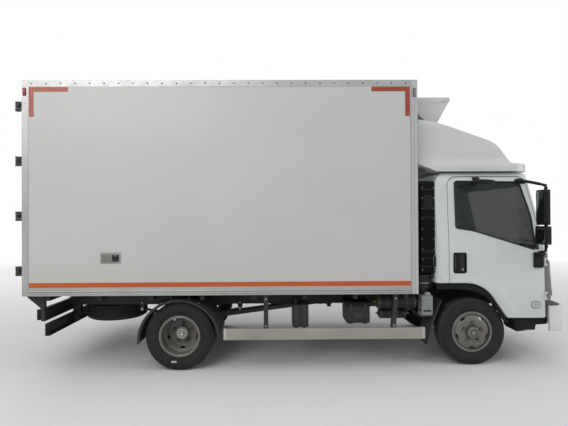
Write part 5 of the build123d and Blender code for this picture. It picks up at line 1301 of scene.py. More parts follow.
piece = Piece()
wheel_axis = Vector((-0.52992, 0, 0.84805))
hub_place = Vector((fa(0.5), 0.46, 1.43))
piece.lathe([(-0.004, 0.0), (-0.006, 0.068), (0.004, 0.07), (0.016, 0.06), (0.022, 0.035), (0.023, 0.0)],
            hub_place, wheel_axis, "dash", 40)
piece.lathe([(0.0215, 0.02), (0.0245, 0.019), (0.0255, 0.0)], hub_place, wheel_axis, "gloss_black", 30)
side_way = Vector((0, 1, 0))
up_way = wheel_axis.cross(side_way)
for start in (-90, 25, 155):
    a = math.radians(start)
    way = side_way * math.cos(a) - up_way * math.sin(a)
    piece.tube([hub_place + way * 0.05 + wheel_axis * -0.006, hub_place + way * 0.12 + wheel_axis * -0.004,
                hub_place + way * 0.185], 0.0135, "dash", 12, 4)
piece.finish("steering_trim", "steering_wheel", "interior_plastic")


# Cooling unit: slatted fan openings, beads along the sides, seams and screws

def unit_front(down, out):
    """Place on the sloped front of the unit."""
    return fa(-0.184) - 0.148 * down + 0.877 * out, 3.084 - 0.27 * down - 0.48 * out


UNIT_BACK = BOX_NOSE + 0.003
piece = Piece()
for y0, y1 in ((-0.66, -0.04), (0.04, 0.66)):
    piece.prism([unit_front(0.1, -0.004), unit_front(0.9, -0.004), unit_front(0.9, 0.0015),
                 unit_front(0.1, 0.0015)], "y", y0, y1, "seal", 0.0006, 1)
    for k in range(11):
        t = 0.13 + 0.068 * k
        piece.prism([unit_front(t, 0.0), unit_front(t + 0.02, 0.0), unit_front(t + 0.048, 0.01),
                     unit_front(t + 0.034, 0.011)], "y", y0 + 0.006, y1 - 0.006, "black", 0.0008, 1)
    for edge in (y0, y1, (y0 + y1) / 2):
        piece.prism([unit_front(0.08, -0.002), unit_front(0.92, -0.002), unit_front(0.92, 0.013),
                     unit_front(0.08, 0.013)], "y", edge - 0.007, edge + 0.007, "unit", 0.002)
for t in (0.075, 0.925):
    piece.prism([unit_front(t - 0.025, -0.002), unit_front(t + 0.025, -0.002), unit_front(t + 0.025, 0.013),
                 unit_front(t - 0.025, 0.013)], "y", -0.667, 0.667, "unit", 0.003)
for side, s in SIDES:
    y = 0.75 * s
    # bead along the cover's lower edge
    lip = [(UNIT_BACK + 0.004, y, 3.078), (fa(-0.29), y, 3.078)]
    piece.tube(lip, 0.0035, "unit", 8, 1)
    screws(piece, [(fa(x), y, z) for x, z in ((-0.62, 3.108), (-0.42, 3.108), (-0.22, 3.108), (-0.56, 3.01),
                                              (-0.44, 2.9))], (0, s, 0))
for x in (fa(-0.56), fa(-0.3)):
    piece.box((x - 0.006, -0.735, 3.1375), (x + 0.006, 0.735, 3.141), "unit", 0.0015)
for y in (-0.4, 0.0, 0.4):
    piece.box((UNIT_BACK + 0.01, y - 0.005, 3.1375), (fa(-0.19), y + 0.005, 3.1408), "unit", 0.0015)
screws(piece, [(fa(x), y, 3.138) for y in (-0.7, -0.35, 0.35, 0.7) for x in (-0.5, -0.23)], (0, 0, 1))
piece.finish("unit_details", "chassis", "unit_plastic")

piece = Piece()
# insulated pipes from the compressor, up the front wall to the unit
for y, r, finish in ((0.52, 0.017, "seal"), (0.475, 0.011, "seal"), (0.44, 0.009, "black")):
    piece.tube([(BOX_NOSE + 0.024, y, 0.88), (BOX_NOSE + 0.024, y, 1.3), (BOX_NOSE + 0.024, y, 1.9),
                (BOX_NOSE + 0.024, y, 2.5), (BOX_NOSE + 0.034, y - 0.02, 2.84),
                (BOX_NOSE + 0.08, y - 0.06, 2.985)], r, finish, 12, 5)
for z in (1.05, 1.55, 2.05, 2.55):
    piece.box((BOX_NOSE - 0.001, 0.415, z), (BOX_NOSE + 0.004, 0.555, z + 0.03), "steel", 0.001)
    piece.box((BOX_NOSE + 0.002, 0.418, z + 0.004), (BOX_NOSE + 0.043, 0.552, z + 0.022), "black", 0.006, 3)
for s in (1, -1):
    piece.tube([(BOX_NOSE + 0.03, 0.62 * s, 3.04), (BOX_NOSE + 0.014, 0.62 * s, 2.7),
                (BOX_NOSE + 0.014, 0.635 * s, 2.35)], 0.008, "seal", 10, 4)
for y in (-0.55, 0.0, 0.55):
    piece.prism([(BOX_NOSE - 0.001, 3.062), (BOX_NOSE - 0.001, 2.86), (BOX_NOSE + 0.006, 2.86),
                 (BOX_NOSE + 0.1, 2.966)], "y", y - 0.02, y + 0.02, "steel", 0.002)
    bolts(piece, [(BOX_NOSE + 0.006, y, 2.88)], (1, 0, 0))
piece.finish("unit_pipes", "chassis", "unit_plastic")

# Evaporator under the roof: fan rings, guards and outlet slats
piece = Piece()
tail = BOX_NOSE - 0.083 - 0.52
for y in (-0.4, 0.0, 0.4):
    centre = (tail - 0.001, y, 3.057)
    piece.lathe([(0, 0.088), (0.012, 0.088), (0.014, 0.08), (0.002, 0.078)], centre, (-1, 0, 0), "black", 40)
    piece.lathe([(0.0, 0.078), (0.0015, 0.0)], centre, (-1, 0, 0), "seal", 40, False)
    for r in (0.066, 0.052, 0.038, 0.024):
        piece.lathe([(0.01, r), (0.012, r + 0.0016), (0.01, r + 0.0032), (0.008, r + 0.0016)], centre,
                    (-1, 0, 0), "steel", 32)
    piece.lathe([(0.002, 0.018), (0.013, 0.017), (0.015, 0.01)], centre, (-1, 0, 0), "black", 24, False)
    for k in range(4):
        a = math.pi * k / 4 + 0.4
        dy, dz = 0.08 * math.cos(a), 0.08 * math.sin(a)
        piece.rod((tail - 0.012, y - dy, 3.057 - dz), (tail - 0.012, y + dy, 3.057 + dz), 0.0014, "steel", 8)
for k in range(9):
    x = tail + 0.05 + 0.05 * k
    piece.box((x, -0.6, 2.9535), (x + 0.022, 0.6, 2.949), "unit", 0.001)
for s in (1, -1):
    for x in (tail + 0.06, tail + 0.26, tail + 0.46):
        piece.lathe([(0, 0.008), (0.003, 0.008), (0.004, 0.005)], (x, 0.6195 * s, 3.03), (0, s, 0), "steel",
                    14, False)
piece.tube([(tail + 0.1, 0.58, 2.955), (tail + 0.1, 0.6, 2.9), (tail + 0.3, 0.6, 2.87),
            (BOX_NOSE - 0.084, 0.6, 2.86)], 0.01, "white_plastic", 12, 5)
piece.finish("evaporator_details", "chassis", "unit_plastic")


# Rear doors: gaskets, straps, lock bars' handles and cams, corner tapes

LOW, HIGH = 0.95, 3.15
HINGES = (1.128, 1.7373, 2.3467, 2.956)
HINGE_X, HINGE_Y = -3.1035, 1.072
for side, s in SIDES:
    piece = Piece()
    y0, y1 = 0.01, 1.052
    # black gasket around the plug of the door, and its visible lip behind
    for y in (y0 + 0.004, y1 - 0.004):
        piece.box((TAIL + 0.02, (y - 0.006) * s, LOW + 0.012), (TAIL + 0.034, (y + 0.003) * s, HIGH - 0.012),
                  "seal", 0.003)
    for z in (LOW + 0.01, HIGH - 0.01):
        piece.box((TAIL + 0.02, y0 * s, z - 0.005), (TAIL + 0.034, y1 * s, z + 0.005), "seal", 0.003)
    # aluminium frame around the outer skin
    for low, high in (((y0 + 0.002, LOW + 0.006), (y0 + 0.034, HIGH - 0.006)),
                      ((y1 - 0.05, LOW + 0.006), (y1 - 0.018, HIGH - 0.006)),
                      ((y0 + 0.034, LOW + 0.006), (y1 - 0.05, LOW + 0.046)),
                      ((y0 + 0.034, HIGH - 0.046), (y1 - 0.05, HIGH - 0.006))):
        piece.box((TAIL - 0.0028, low[0] * s, low[1]), (TAIL + 0.002, high[0] * s, high[1]), "alu", 0.0012,
                  2)
    piece.box((TAIL - 0.0034, (y0 - 0.002) * s, LOW + 0.004), (TAIL + 0.012, (y0 + 0.007) * s, HIGH - 0.004),
              "seal", 0.002)
    # hinge straps: raised rib and bolts
    for z in HINGES:
        piece.box((TAIL - 0.0115, 0.715 * s, z - 0.008), (TAIL - 0.0075, 1.01 * s, z + 0.008), "steel",
                  0.003, 3)
        bolts(piece, [(TAIL - 0.008, y * s, z + dz) for y in (0.735, 0.86, 0.985) for dz in (-0.016, 0.016)],
              (-1, 0, 0), 0.0055, 0.004)
        for dz in (-0.0495, 0.0495):
            piece.dome((HINGE_X, HINGE_Y * s, z + dz), (0, 0, 1 if dz > 0 else -1), 0.0075, 0.003, "steel")
        # dark coating of the moving barrel and of the link that carries it
        piece.lathe([(-0.0243, 0.0232), (0.0243, 0.0232)], (HINGE_X, HINGE_Y * s, z), (0, 0, 1), "cast", 32,
                    False)
        piece.prism([(TAIL - 0.0083, 0.994 * s), (TAIL - 0.0007, 1.044 * s), (TAIL - 0.0007, 1.0535 * s),
                     (HINGE_X + 0.004, (HINGE_Y + 0.0123) * s), (HINGE_X - 0.014, (HINGE_Y - 0.0083) * s)],
                    "z", z - 0.0243, z + 0.0243, "cast", 0)
    # bars: guides, keeper cams at both ends, and a folding handle
    for y in (0.23, 0.64):
        for z in (1.06, 1.62, 2.3, 2.95):
            piece.box((TAIL - 0.046, (y - 0.03) * s, z - 0.02), (TAIL - 0.001, (y + 0.03) * s, z + 0.02),
                      "steel", 0.008, 3)
            bolts(piece, [(TAIL - 0.012, (y + d) * s, z) for d in (-0.042, 0.042)], (-1, 0, 0), 0.006, 0.005)
            piece.box((TAIL - 0.012, (y - 0.054) * s, z - 0.017), (TAIL - 0.001, (y + 0.054) * s, z + 0.017),
                      "steel", 0.003)
        for z in (0.985, 3.118):
            piece.prism([(TAIL - 0.046, (y - 0.02) * s), (TAIL - 0.014, (y - 0.034) * s),
                         (TAIL - 0.01, (y + 0.01) * s), (TAIL - 0.046, (y + 0.02) * s)], "z", z - 0.012,
                        z + 0.012, "cast", 0.003)
        # handle: flat bar with a bent grip, held by a hook on the door
        z = 1.405 if y < 0.4 else 1.33
        way = -1 if y > 0.4 else 1
        piece.box((TAIL - 0.05, (y - 0.02) * s, z - 0.024), (TAIL - 0.024, (y + 0.02) * s, z + 0.024),
                  "steel", 0.005)
        piece.tube([(TAIL - 0.048, y * s, z), (TAIL - 0.05, (y + 0.08 * way) * s, z),
                    (TAIL - 0.05, (y + 0.2 * way) * s, z - 0.006),
                    (TAIL - 0.046, (y + 0.3 * way) * s, z - 0.01)], 0.0085, "steel", 12, 4)
        piece.tube([(TAIL - 0.047, (y + 0.22 * way) * s, z - 0.007),
                    (TAIL - 0.047, (y + 0.31 * way) * s, z - 0.01)], 0.012, "black", 14, 1)
        piece.box((TAIL - 0.036, (y + 0.19 * way - 0.018) * s, z - 0.04),
                  (TAIL - 0.001, (y + 0.19 * way + 0.018) * s, z - 0.016), "steel", 0.004)
        piece.box((TAIL - 0.055, (y + 0.19 * way - 0.013) * s, z - 0.036),
                  (TAIL - 0.034, (y + 0.19 * way + 0.013) * s, z + 0.006), "cast", 0.004)
    # tapes at the outer corners
    edge = y1 - 0.054
    for width, z0, z1 in ((0.3, HIGH - 0.078, HIGH - 0.026), (0.3, LOW + 0.026, LOW + 0.078),
                          (0.052, HIGH - 0.08, HIGH - 0.38), (0.052, LOW + 0.08, LOW + 0.38)):
        piece.box((TAIL - 0.0034, edge * s, z0), (TAIL + 0.001, (edge - width) * s, z1), "tape", 0.0003, 1)
    # inner face: ribs of the lining
    for z in (1.3, 1.9):
        piece.box((TAIL + 0.063, 0.05 * s, z), (TAIL + 0.0665, 0.99 * s, z + 0.09), "floor_alu", 0.001)
    piece.finish("cargo_door_trim_" + side, "cargo_door_" + side, "box_trim")

piece = Piece()
for side, s in SIDES:
    for y in (0.23, 0.64):
        for z, way in ((0.925, 1), (3.178, -1)):
            piece.box((TAIL - 0.03, (y - 0.04) * s, z - 0.022), (TAIL - 0.0005, (y + 0.04) * s, z + 0.022),
                      "steel", 0.004)
            for d in (-0.028, 0.028):
                piece.box((TAIL - 0.054, (y + d - 0.007) * s, z - 0.02),
                          (TAIL - 0.028, (y + d + 0.007) * s, z + 0.02 + 0.006 * way), "cast", 0.003)
    for z in HINGES:
        bolts(piece, [(TAIL + 0.03, 1.0995 * s, z + dz) for dz in (-0.03, 0.03)], (0, s, 0), 0.0075, 0.0045)
        for dz in (-0.039, 0.039):
            piece.lathe([(-0.0133, 0.0125), (-0.0133, 0.0241), (0.0133, 0.0241), (0.0133, 0.0125)],
                        (HINGE_X, HINGE_Y * s, z + dz), (0, 0, 1), "cast", 32)
            piece.box((HINGE_X + 0.02, (HINGE_Y - 0.0103) * s, z + dz - 0.0133),
                      (TAIL, (HINGE_Y + 0.0123) * s, z + dz + 0.0133), "cast", 0)
    # gasket on the frame
    piece.box((TAIL + 0.04, 1.058 * s, 0.955), (TAIL + 0.055, 1.046 * s, 3.147), "seal", 0.003)
for z in (0.9485, 3.1515):
    piece.box((TAIL + 0.04, -1.05, z - 0.003), (TAIL + 0.055, 1.05, z + 0.003), "seal", 0.002)
piece.box((TAIL - 0.002, -0.98, 0.866), (TAIL + 0.004, 0.98, 0.874), "black", 0.001)
piece.finish("rear_frame_details", "chassis", "bare_steel")

# Tail lamps with three lenses each, blank plate, beam ends and tapes
piece = Piece()
for side, s in SIDES:
    x = ra(-1.596)
    piece.box((x - 0.003, 0.697 * s, 0.563), (x + 0.03, 0.988 * s, 0.685), "black", 0.008, 3)
    piece.box((x - 0.017, 0.9805 * s, 0.563), (x + 0.01, 0.9895 * s, 0.685), "black", 0.003, 2)
    for k, finish in enumerate(("amber", "red", "clear")):
        a = 0.978 - 0.093 * k
        piece.prism(rectangle(a * s, (a - 0.086) * s, 0.572, 0.676, 0.01, 4), "x", x - 0.018, x, finish,
                    0.005, 3)
    piece.box((x - 0.02, 0.705 * s, 0.58), (x - 0.002, 0.702 * s, 0.668), "black", 0.001)
    for y in (0.727, 0.958):
        piece.dome((x - 0.018, y * s, 0.58), (-1, 0, 0), 0.004, 0.002, "steel")
    piece.tube([(x + 0.036, 0.8 * s, 0.64), (x + 0.1, 0.76 * s, 0.66), (x + 0.2, 0.6 * s, 0.7),
                (x + 0.32, 0.42 * s, 0.73)], 0.007, "seal", 8, 4)
    piece.box((ra(-1.506), 1.0205 * s, 0.396), (ra(-1.452), 1.0135 * s, 0.528), "black", 0.004)
piece.finish("tail_lamps", "chassis", "lamp_red")

piece = Piece()
piece.box((ra(-1.598) - 0.006, -0.27, 0.56), (ra(-1.598) + 0.004, 0.27, 0.688), "black", 0.003)
piece.box((ra(-1.598) - 0.0085, -0.26, 0.568), (ra(-1.598) - 0.004, 0.26, 0.68), "blank_plate", 0.001)
for y in (-0.18, 0.18):
    piece.box((ra(-1.615), y - 0.028, 0.69), (ra(-1.575), y + 0.028, 0.706), "black", 0.004)
    piece.box((ra(-1.61), y - 0.02, 0.686), (ra(-1.58), y + 0.02, 0.691), "clear", 0.002)
for s in (1, -1):
    for k in range(5):
        y = (0.04 + 0.19 * k) * s
        finish = "red" if k % 2 == 0 else "blank_plate"
        piece.box((ra(-1.5062), y, 0.405), (ra(-1.5045), y + 0.186 * s, 0.43), finish, 0.0003, 1)
    for y in (0.3, 0.36):
        bolts(piece, [(ra(-1.506), y * s, z) for z in (0.452, 0.505)], (-1, 0, 0), 0.01, 0.007, "chassis")
for y in (-0.52, 0.52):
    piece.box((ra(-1.63), y - 0.03, 0.56), (ra(-1.595), y + 0.03, 0.65), "seal", 0.006, 3)
piece.finish("tail_details", "chassis", "black_plastic")


# Side guards: dark posts with bolts, pale end caps, beads along the rail

piece = Piece()
tail, nose = ra(0.502), fa(-0.596)
for side, s in SIDES:
    for x, lean in ((tail + 0.448, 0.0), (nose - 0.379, 0.04)):
        low, high = 0.4725, BOX_LOW - 0.001
        def along(z):
            """X of the post at a height."""
            return x + lean * (z - 0.368) / (BOX_LOW - 0.368)
        points = [(along(low) - 0.0025, low), (along(low) + 0.0475, low), (along(high) + 0.0475, high),
                  (along(high) - 0.0025, high)]
        piece.prism(points, "y", 1.0105 * s, 1.0745 * s, "chassis", 0.004, 2)
        piece.prism([(along(0.36) - 0.0025, 0.352), (along(0.36) + 0.0475, 0.352),
                     (along(0.47) + 0.0475, 0.4735), (along(0.47) - 0.0025, 0.4735)], "y", 1.0105 * s,
                    1.0435 * s, "chassis", 0.004, 2)
        bolts(piece, [(along(z) + 0.0225, 1.0745 * s, z) for z in (0.5, 0.8)], (0, s, 0), 0.008, 0.006)
        piece.box((x - 0.03, 1.012 * s, BOX_LOW - 0.006), (x + 0.11, 1.072 * s, BOX_LOW - 0.0005), "chassis",
                  0.002)
    for x, way in ((tail, 1), (nose, -1)):
        section = rectangle(1.0435 * s, 1.0795 * s, 0.3465, 0.4725, 0.008, 3)
        piece.prism(section, "x", x - 0.002 * way, x + 0.028 * way, "guard_cap", 0.0025, 2)
    for z in (0.388, 0.431):
        piece.box((tail + 0.03, 1.0775 * s, z - 0.0012), (nose - 0.03, 1.0792 * s, z + 0.0012), "guard",
                  0.0006, 1)
piece.finish("guard_posts", "chassis", "guard_paint")


# Mudguards: rolled edges, ribs and bolts

GUARD_MIDDLE = 0.338


def guard_arc(radius, y, first, last, steps):
    """Points on the rear mudguard's arc between two angles in degrees."""
    turns = [math.radians(first + (last - first) * k / steps) for k in range(steps + 1)]
    return [(REAR_AXLE + radius * math.cos(a), y, GUARD_MIDDLE + radius * math.sin(a)) for a in turns]


piece = Piece()
for side, s in SIDES:
    for y in (1.075, 0.592):
        piece.tube(guard_arc(0.4575, y * s, 10, 184, 36), 0.0042, "flap", 8, 1)
    for a in (62, 118):
        c, d = math.cos(math.radians(a)), math.sin(math.radians(a))
        bolts(piece, [(REAR_AXLE + 0.46 * c, y * s, GUARD_MIDDLE + 0.46 * d) for y in (0.715, 0.995)],
              (c, 0, d), 0.009, 0.005)
    # ribs pressed into the guard
    for y in (0.7, 0.83, 0.96):
        piece.tube(guard_arc(0.46, y * s, 16, 178, 24), 0.0035, "flap", 6, 1)
piece.finish("mudguard_edges", "chassis", "black_plastic")


# Air intake duct and rear wall of the cab

piece = Piece()
x0, x1 = fa(-0.588), fa(-0.43)
y = -0.95
for z in [1.1 + 0.118 * k for k in range(9)]:
    for x in (x0 + 0.012, x1 - 0.012):
        piece.dome((x, y, z), (0, -1, 0), 0.0058, 0.0028, "steel")
for z in (1.3, 1.69, 2.01):
    piece.box((x0 - 0.0022, y - 0.0022, z), (x1 - 0.001, -0.7278, z + 0.024), "black", 0.001)
for k in range(9):
    z = 1.8 + 0.018 * k
    piece.prism([(x0 + 0.03, z), (x1 - 0.03, z), (x1 - 0.03, z + 0.006), (x0 + 0.03, z + 0.006)], "y",
                y - 0.0055, y + 0.001, "seal", 0.001, 1)
piece.prism([(x0 + 0.022, 1.788), (x1 - 0.022, 1.788), (x1 - 0.022, 1.965), (x0 + 0.022, 1.965)], "y",
            y - 0.0015, y + 0.001, "black", 0.001, 1)
for z in (1.13, 1.23):
    piece.box((x0 - 0.0025, y - 0.0025, z), (x1 - 0.001, -0.7275, z + 0.01), "seal", 0.002)
for z in (0.9, 0.945, 1.0):
    piece.lathe([(-0.004, 0.0885), (-0.004, 0.0905), (0.004, 0.0905), (0.004, 0.0885)],
                (fa(-0.535), -0.84, z), (0, 0, 1), "steel" if z == 0.945 else "seal", 36)
piece.finish("duct_details", "cab", "black_plastic")

piece = Piece()
for y in (-0.46, -0.23, 0.0, 0.23, 0.46):
    piece.box((fa(-0.432), y - 0.03, 1.02), (fa(-0.429), y + 0.03, 1.36), "cab", 0.0012)
rear_window = looped(rectangle(-0.395, 0.395, 1.515, 1.925, 0.05, 5))
piece.tube([(fa(-0.432), y, z) for y, z in rear_window], 0.01, "seal", 8, 1)
for s in (1, -1):
    piece.box((fa(-0.448), 0.86 * s, 1.01), (fa(-0.428), 0.925 * s, 1.095), "cast", 0.005)
    piece.tube([(fa(-0.442), 0.8 * s, 1.04), (fa(-0.442), 0.6 * s, 0.99), (fa(-0.442), 0.4 * s, 1.0)], 0.009,
               "seal", 10, 4)
    bolts(piece, [(fa(-0.448), 0.892 * s, z) for z in (1.03, 1.075)], (-1, 0, 0))
piece.finish("cab_back_details", "cab", "black_plastic")

# Under the frame: spring fittings, tank fittings, driveline details and pipes

def hoop(piece, outline, axis, low, high, thickness, finish):
    """Strap of a flat section round a closed outline."""
    line = [Vector(p) for p in outline]
    count = len(line)
    area = sum(line[i - 1].cross(line[i]) for i in range(count))
    verts, faces = [], []
    for i, here in enumerate(line):
        along = (line[(i + 1) % count] - line[i - 1]).normalized()
        out = Vector((along.y, -along.x)) * (1 if area > 0 else -1)
        for place in (here, here + out * thickness):
            for c in (low, high):
                verts.append({"x": (c, place.x, place.y), "y": (place.x, c, place.y),
                              "z": (place.x, place.y, c)}[axis])
    for i in range(count):
        a, b = 4 * i, 4 * ((i + 1) % count)
        faces += [(a, a + 1, b + 1, b), (a + 2, b + 2, b + 3, a + 3), (a, b, b + 2, a + 2),
                  (a + 1, a + 3, b + 3, b + 1)]
    piece.put(verts, faces, finish)


def clamp_bolt(piece, x, y, low, top, half):
    """U-bolt over a spring with its two nuts."""
    arc = [(x, y + half * math.cos(math.pi * k / 8), top - 0.014 + 0.014 * math.sin(math.pi * k / 8))
           for k in range(9)]
    piece.tube([(x, y + half, low)] + arc + [(x, y - half, low)], 0.0075, "steel", 10, 1)
    for way in (-1, 1):
        piece.lathe([(0, 0.0125), (0.013, 0.0125)], (x, y + way * half, low + 0.006), (0, 0, -1), "cast", 6,
                    False, 0.001)


# Place of a spring's clips, as a share of its half length
CLIP_PLACE = 0.46

for side, s in SIDES:
    y = 0.3425 * s
    piece = Piece()
    for x, seat, low, reach, plate in ((FRONT_AXLE, 0.439, 0.352, 0.041, 0.37),
                                       (REAR_AXLE, 0.489, 0.3, 0.068, 0.322)):
        piece.box((x - reach - 0.022, y - 0.048, seat + 0.001), (x + reach + 0.022, y + 0.048, seat + 0.013),
                  "cast", 0.003)
        piece.box((x - reach - 0.022, y - 0.05, plate - 0.012),
                  (x + reach + 0.022, y + 0.05, plate - 0.0005), "cast", 0.003)
        for way in (-1, 1):
            clamp_bolt(piece, x + way * reach, y, low, seat + 0.036, 0.04)
        piece.lathe([(0, 0.03), (0.045, 0.03), (0.06, 0.018)], (x, y, seat + 0.012), (0, 0, 1), "seal", 28,
                    False, 0.002)
    for place, half, z, seat, rise in ((FRONT_AXLE, 0.56, 0.5425, 0.4, 0.11),
                                       (REAR_AXLE, 0.62, 0.5525, 0.45, 0.07)):
        for way in (-1, 1):
            spot = (place + way * half, 0.383 * s, z)
            piece.lathe([(0, 0.019), (0.004, 0.019)], spot, (0, s, 0), "steel", 24, False, 0.001)
            piece.bolt((spot[0], 0.387 * s, z), (0, s, 0), 0.012, 0.01, "steel")
            piece.bolt((spot[0], 0.311 * s, z), (0, -s, 0), 0.012, 0.01, "steel")
            piece.bolt((spot[0], 0.383 * s, 0.63), (0, s, 0), 0.008, 0.007, "steel")
        for way in (-1, 1):
            x = place + way * half * CLIP_PLACE
            base = seat + rise * CLIP_PLACE * CLIP_PLACE
            piece.box((x - 0.015, y - 0.0365, base - 0.003), (x + 0.015, y + 0.0365, base + 0.044), "cast",
                      0.002)
    low, high = Vector((FRONT_AXLE - 0.075, 0.43 * s, 0.385)), Vector((FRONT_AXLE - 0.17, 0.425 * s, 0.72))
    run = high - low
    piece.rod(low, low + run * 0.6, 0.026, "cast", 24, 0.004)
    piece.rod(low + run * 0.45, high, 0.033, "chassis", 28, 0.006)
    for end in (low, high):
        piece.lathe([(-0.026, 0.012), (-0.026, 0.024), (0.026, 0.024), (0.026, 0.012)], end, (0, 1, 0),
                    "seal", 24)
    piece.rod(low, (low.x, 0.35 * s, low.z), 0.011, "steel", 14)
    piece.rod(high, (high.x, 0.374 * s, high.z), 0.011, "steel", 14)
    piece.finish("spring_fittings_" + side, "chassis", "spring_steel")

# Tanks and boxes: straps, lids, caps, drain cocks
piece = Piece()
tank = rectangle(0.48, 0.93, 0.42, 0.74, 0.045, 8)
for x in (-2.18, -1.9, -1.62):
    hoop(piece, tank, "x", fa(x - 0.022), fa(x + 0.022), 0.0035, "cast")
    piece.box((fa(x - 0.012), 0.9325, 0.6), (fa(x + 0.012), 0.942, 0.645), "cast", 0.003)
    piece.rod((fa(x), 0.939, 0.56), (fa(x), 0.939, 0.69), 0.004, "cast", 10)
for x in (-2.3475, -1.4525):
    hoop(piece, tank, "x", fa(x - 0.006), fa(x + 0.006), 0.003, "tank")
piece.lathe([(0, 0.043), (0.016, 0.043), (0.024, 0.036), (0.026, 0.0)], (fa(-2.23), 0.82, 0.764), (0, 0, 1),
            "black", 40)
for x, y, z in around((fa(-2.23), 0.82, 0.765), 0.041, 10, 0, "xy"):
    piece.box((x - 0.005, y - 0.005, z), (x + 0.005, y + 0.005, z + 0.016), "black", 0.002)
piece.lathe([(0, 0.022), (0.006, 0.022), (0.01, 0.012), (0.022, 0.012)], (fa(-1.7), 0.7, 0.739), (0, 0, 1),
            "steel", 24, False)
piece.tube([(fa(-1.7), 0.7, 0.757), (fa(-1.66), 0.62, 0.775), (fa(-1.6), 0.47, 0.77),
            (fa(-1.5), 0.39, 0.745)], 0.006, "seal", 10)
piece.lathe([(0, 0.014), (0.012, 0.014), (0.012, 0.009), (0.02, 0.009)], (fa(-1.9), 0.7, 0.4205), (0, 0, -1),
            "brass", 6, False)
piece.finish("fuel_tank_fittings", "chassis", "tank_metal")

piece = Piece()
x0, x1, y0, y1, z0, z1 = fa(-1.443), fa(-1.175), -0.56, -0.9, 0.482, 0.718
lid = rectangle(x0 - 0.004, x1 + 0.004, y0, y1 - 0.0025, 0.014, 4)
piece.prism(lid, "z", z1 - 0.045, z1 + 0.006, "black", 0.004, 2)
for k in range(5):
    x = x0 + 0.04 + 0.047 * k
    piece.box((x, y0 - 0.03, z1 + 0.004), (x + 0.018, y1 + 0.03, z1 + 0.01), "black", 0.003)
for x in (x0 + 0.05, x1 - 0.05):
    piece.box((x - 0.014, y1 - 0.0015, z1 - 0.11), (x + 0.014, y1 - 0.0075, z1 - 0.02), "cast", 0.002)
    piece.rod((x - 0.012, y1 - 0.008, z1 - 0.05), (x + 0.012, y1 - 0.008, z1 - 0.05), 0.004, "cast", 12)
piece.box((x0 + 0.085, y1 - 0.001, z0 + 0.06), (x1 - 0.085, y1 - 0.004, z0 + 0.12), "cast", 0.003)
for x in (x0 + 0.004, x1 - 0.004):
    piece.rod((x, y1 + 0.012, z0 + 0.01), (x, y1 + 0.012, z1 - 0.05), 0.006, "black", 10)
x0, x1, y0, y1, z0, z1 = fa(-2.073), fa(-1.886), -0.62, -0.9, 0.44, 0.7
box_line = rectangle(y1, y0, z0, z1, 0.015, 4)
for x in (x0 + 0.045, x1 - 0.045):
    hoop(piece, box_line, "x", x - 0.015, x + 0.015, 0.003, "cast")
    piece.bolt((x, y1 - 0.003, z1 - 0.07), (0, -1, 0), 0.007, 0.006, "cast")
cap = (fa(-2.033), -0.82, 0.748)
piece.lathe([(0, 0.031), (0.014, 0.031), (0.02, 0.026), (0.021, 0.0)], cap, (0, 0, 1), "black", 32)
for low, high, y, z, radius in ((-1.057, -0.623, -0.77, 0.706, 0.08), (-1.0, -0.7, -0.64, 0.54, 0.062)):
    for x in (low + 0.1, high - 0.1):
        piece.lathe([(-0.014, radius - 0.002), (-0.014, radius + 0.0028), (0.014, radius + 0.0028),
                     (0.014, radius - 0.002)], (fa(x), y, z), (1, 0, 0), "cast", 48)
    for x, way in ((low, -1), (high, 1)):
        piece.lathe([(-0.02, radius - 0.002), (-0.02, radius + 0.0015), (0.0, radius + 0.0015),
                     (0.016, radius * 0.8), (0.024, radius * 0.45), (0.026, 0.0), (-0.02, 0.0)],
                    (fa(x), y, z), (way, 0, 0), "tank", 48)
        piece.lathe([(0.024, 0.014), (0.04, 0.014), (0.04, 0.009), (0.052, 0.009)], (fa(x), y, z),
                    (way, 0, 0), "brass", 6, False)
    piece.lathe([(0, 0.01), (0.014, 0.01), (0.014, 0.006), (0.024, 0.006)],
                (fa((low + high) / 2), y, z - radius), (0, 0, -1), "brass", 12, False)
    piece.tube([(fa(high + 0.05), y, z), (fa(high + 0.09), y + 0.03, z + 0.02),
                (fa(high + 0.09), -0.45, 0.72), (fa(high + 0.06), -0.385, 0.745)], 0.0055, "seal", 10)
piece.finish("side_unit_fittings", "chassis", "bare_steel")

# Coolant bottle: cap, moulded seam, strap and hoses
piece = Piece()
x0, x1, y0, y1 = fa(-0.575), fa(-0.448), -0.78, -0.915
cx, cy = (x0 + x1) / 2 + 0.02, -0.855
piece.lathe([(0, 0.033), (0.024, 0.033), (0.031, 0.027), (0.0335, 0.012), (0.0335, 0.0)], (cx, cy, 0.799),
            (0, 0, 1), "bottle_cap", 40)
for x, y, z in around((cx, cy, 0.8), 0.0325, 16, 0, "xy"):
    piece.rod((x, y, z), (x, y, z + 0.022), 0.0025, "bottle_cap", 8)
seam = rectangle(x0, x1, y0, y1, 0.03, 5)
hoop(piece, seam, "z", 0.69, 0.697, 0.0032, "white_plastic")
hoop(piece, seam, "z", 0.612, 0.632, 0.0024, "seal")
for z in (0.65, 0.74):
    piece.box((x1 - 0.06, y1 + 0.001, z), (x1 - 0.03, y1 - 0.0022, z + 0.004), "seal", 0.0005, 1)
piece.tube([(cx - 0.03, cy + 0.01, 0.815), (cx - 0.07, cy + 0.06, 0.835), (cx - 0.08, -0.66, 0.8),
            (cx - 0.02, -0.5, 0.74), (fa(-0.42), -0.3, 0.72)], 0.009, "seal", 12)
piece.tube([(cx, y0 + 0.001, 0.585), (cx, -0.7, 0.575), (fa(-0.44), -0.52, 0.585), (fa(-0.43), -0.27, 0.6)],
           0.011, "seal", 12)
piece.finish("coolant_fittings", "chassis", "white_plastic")

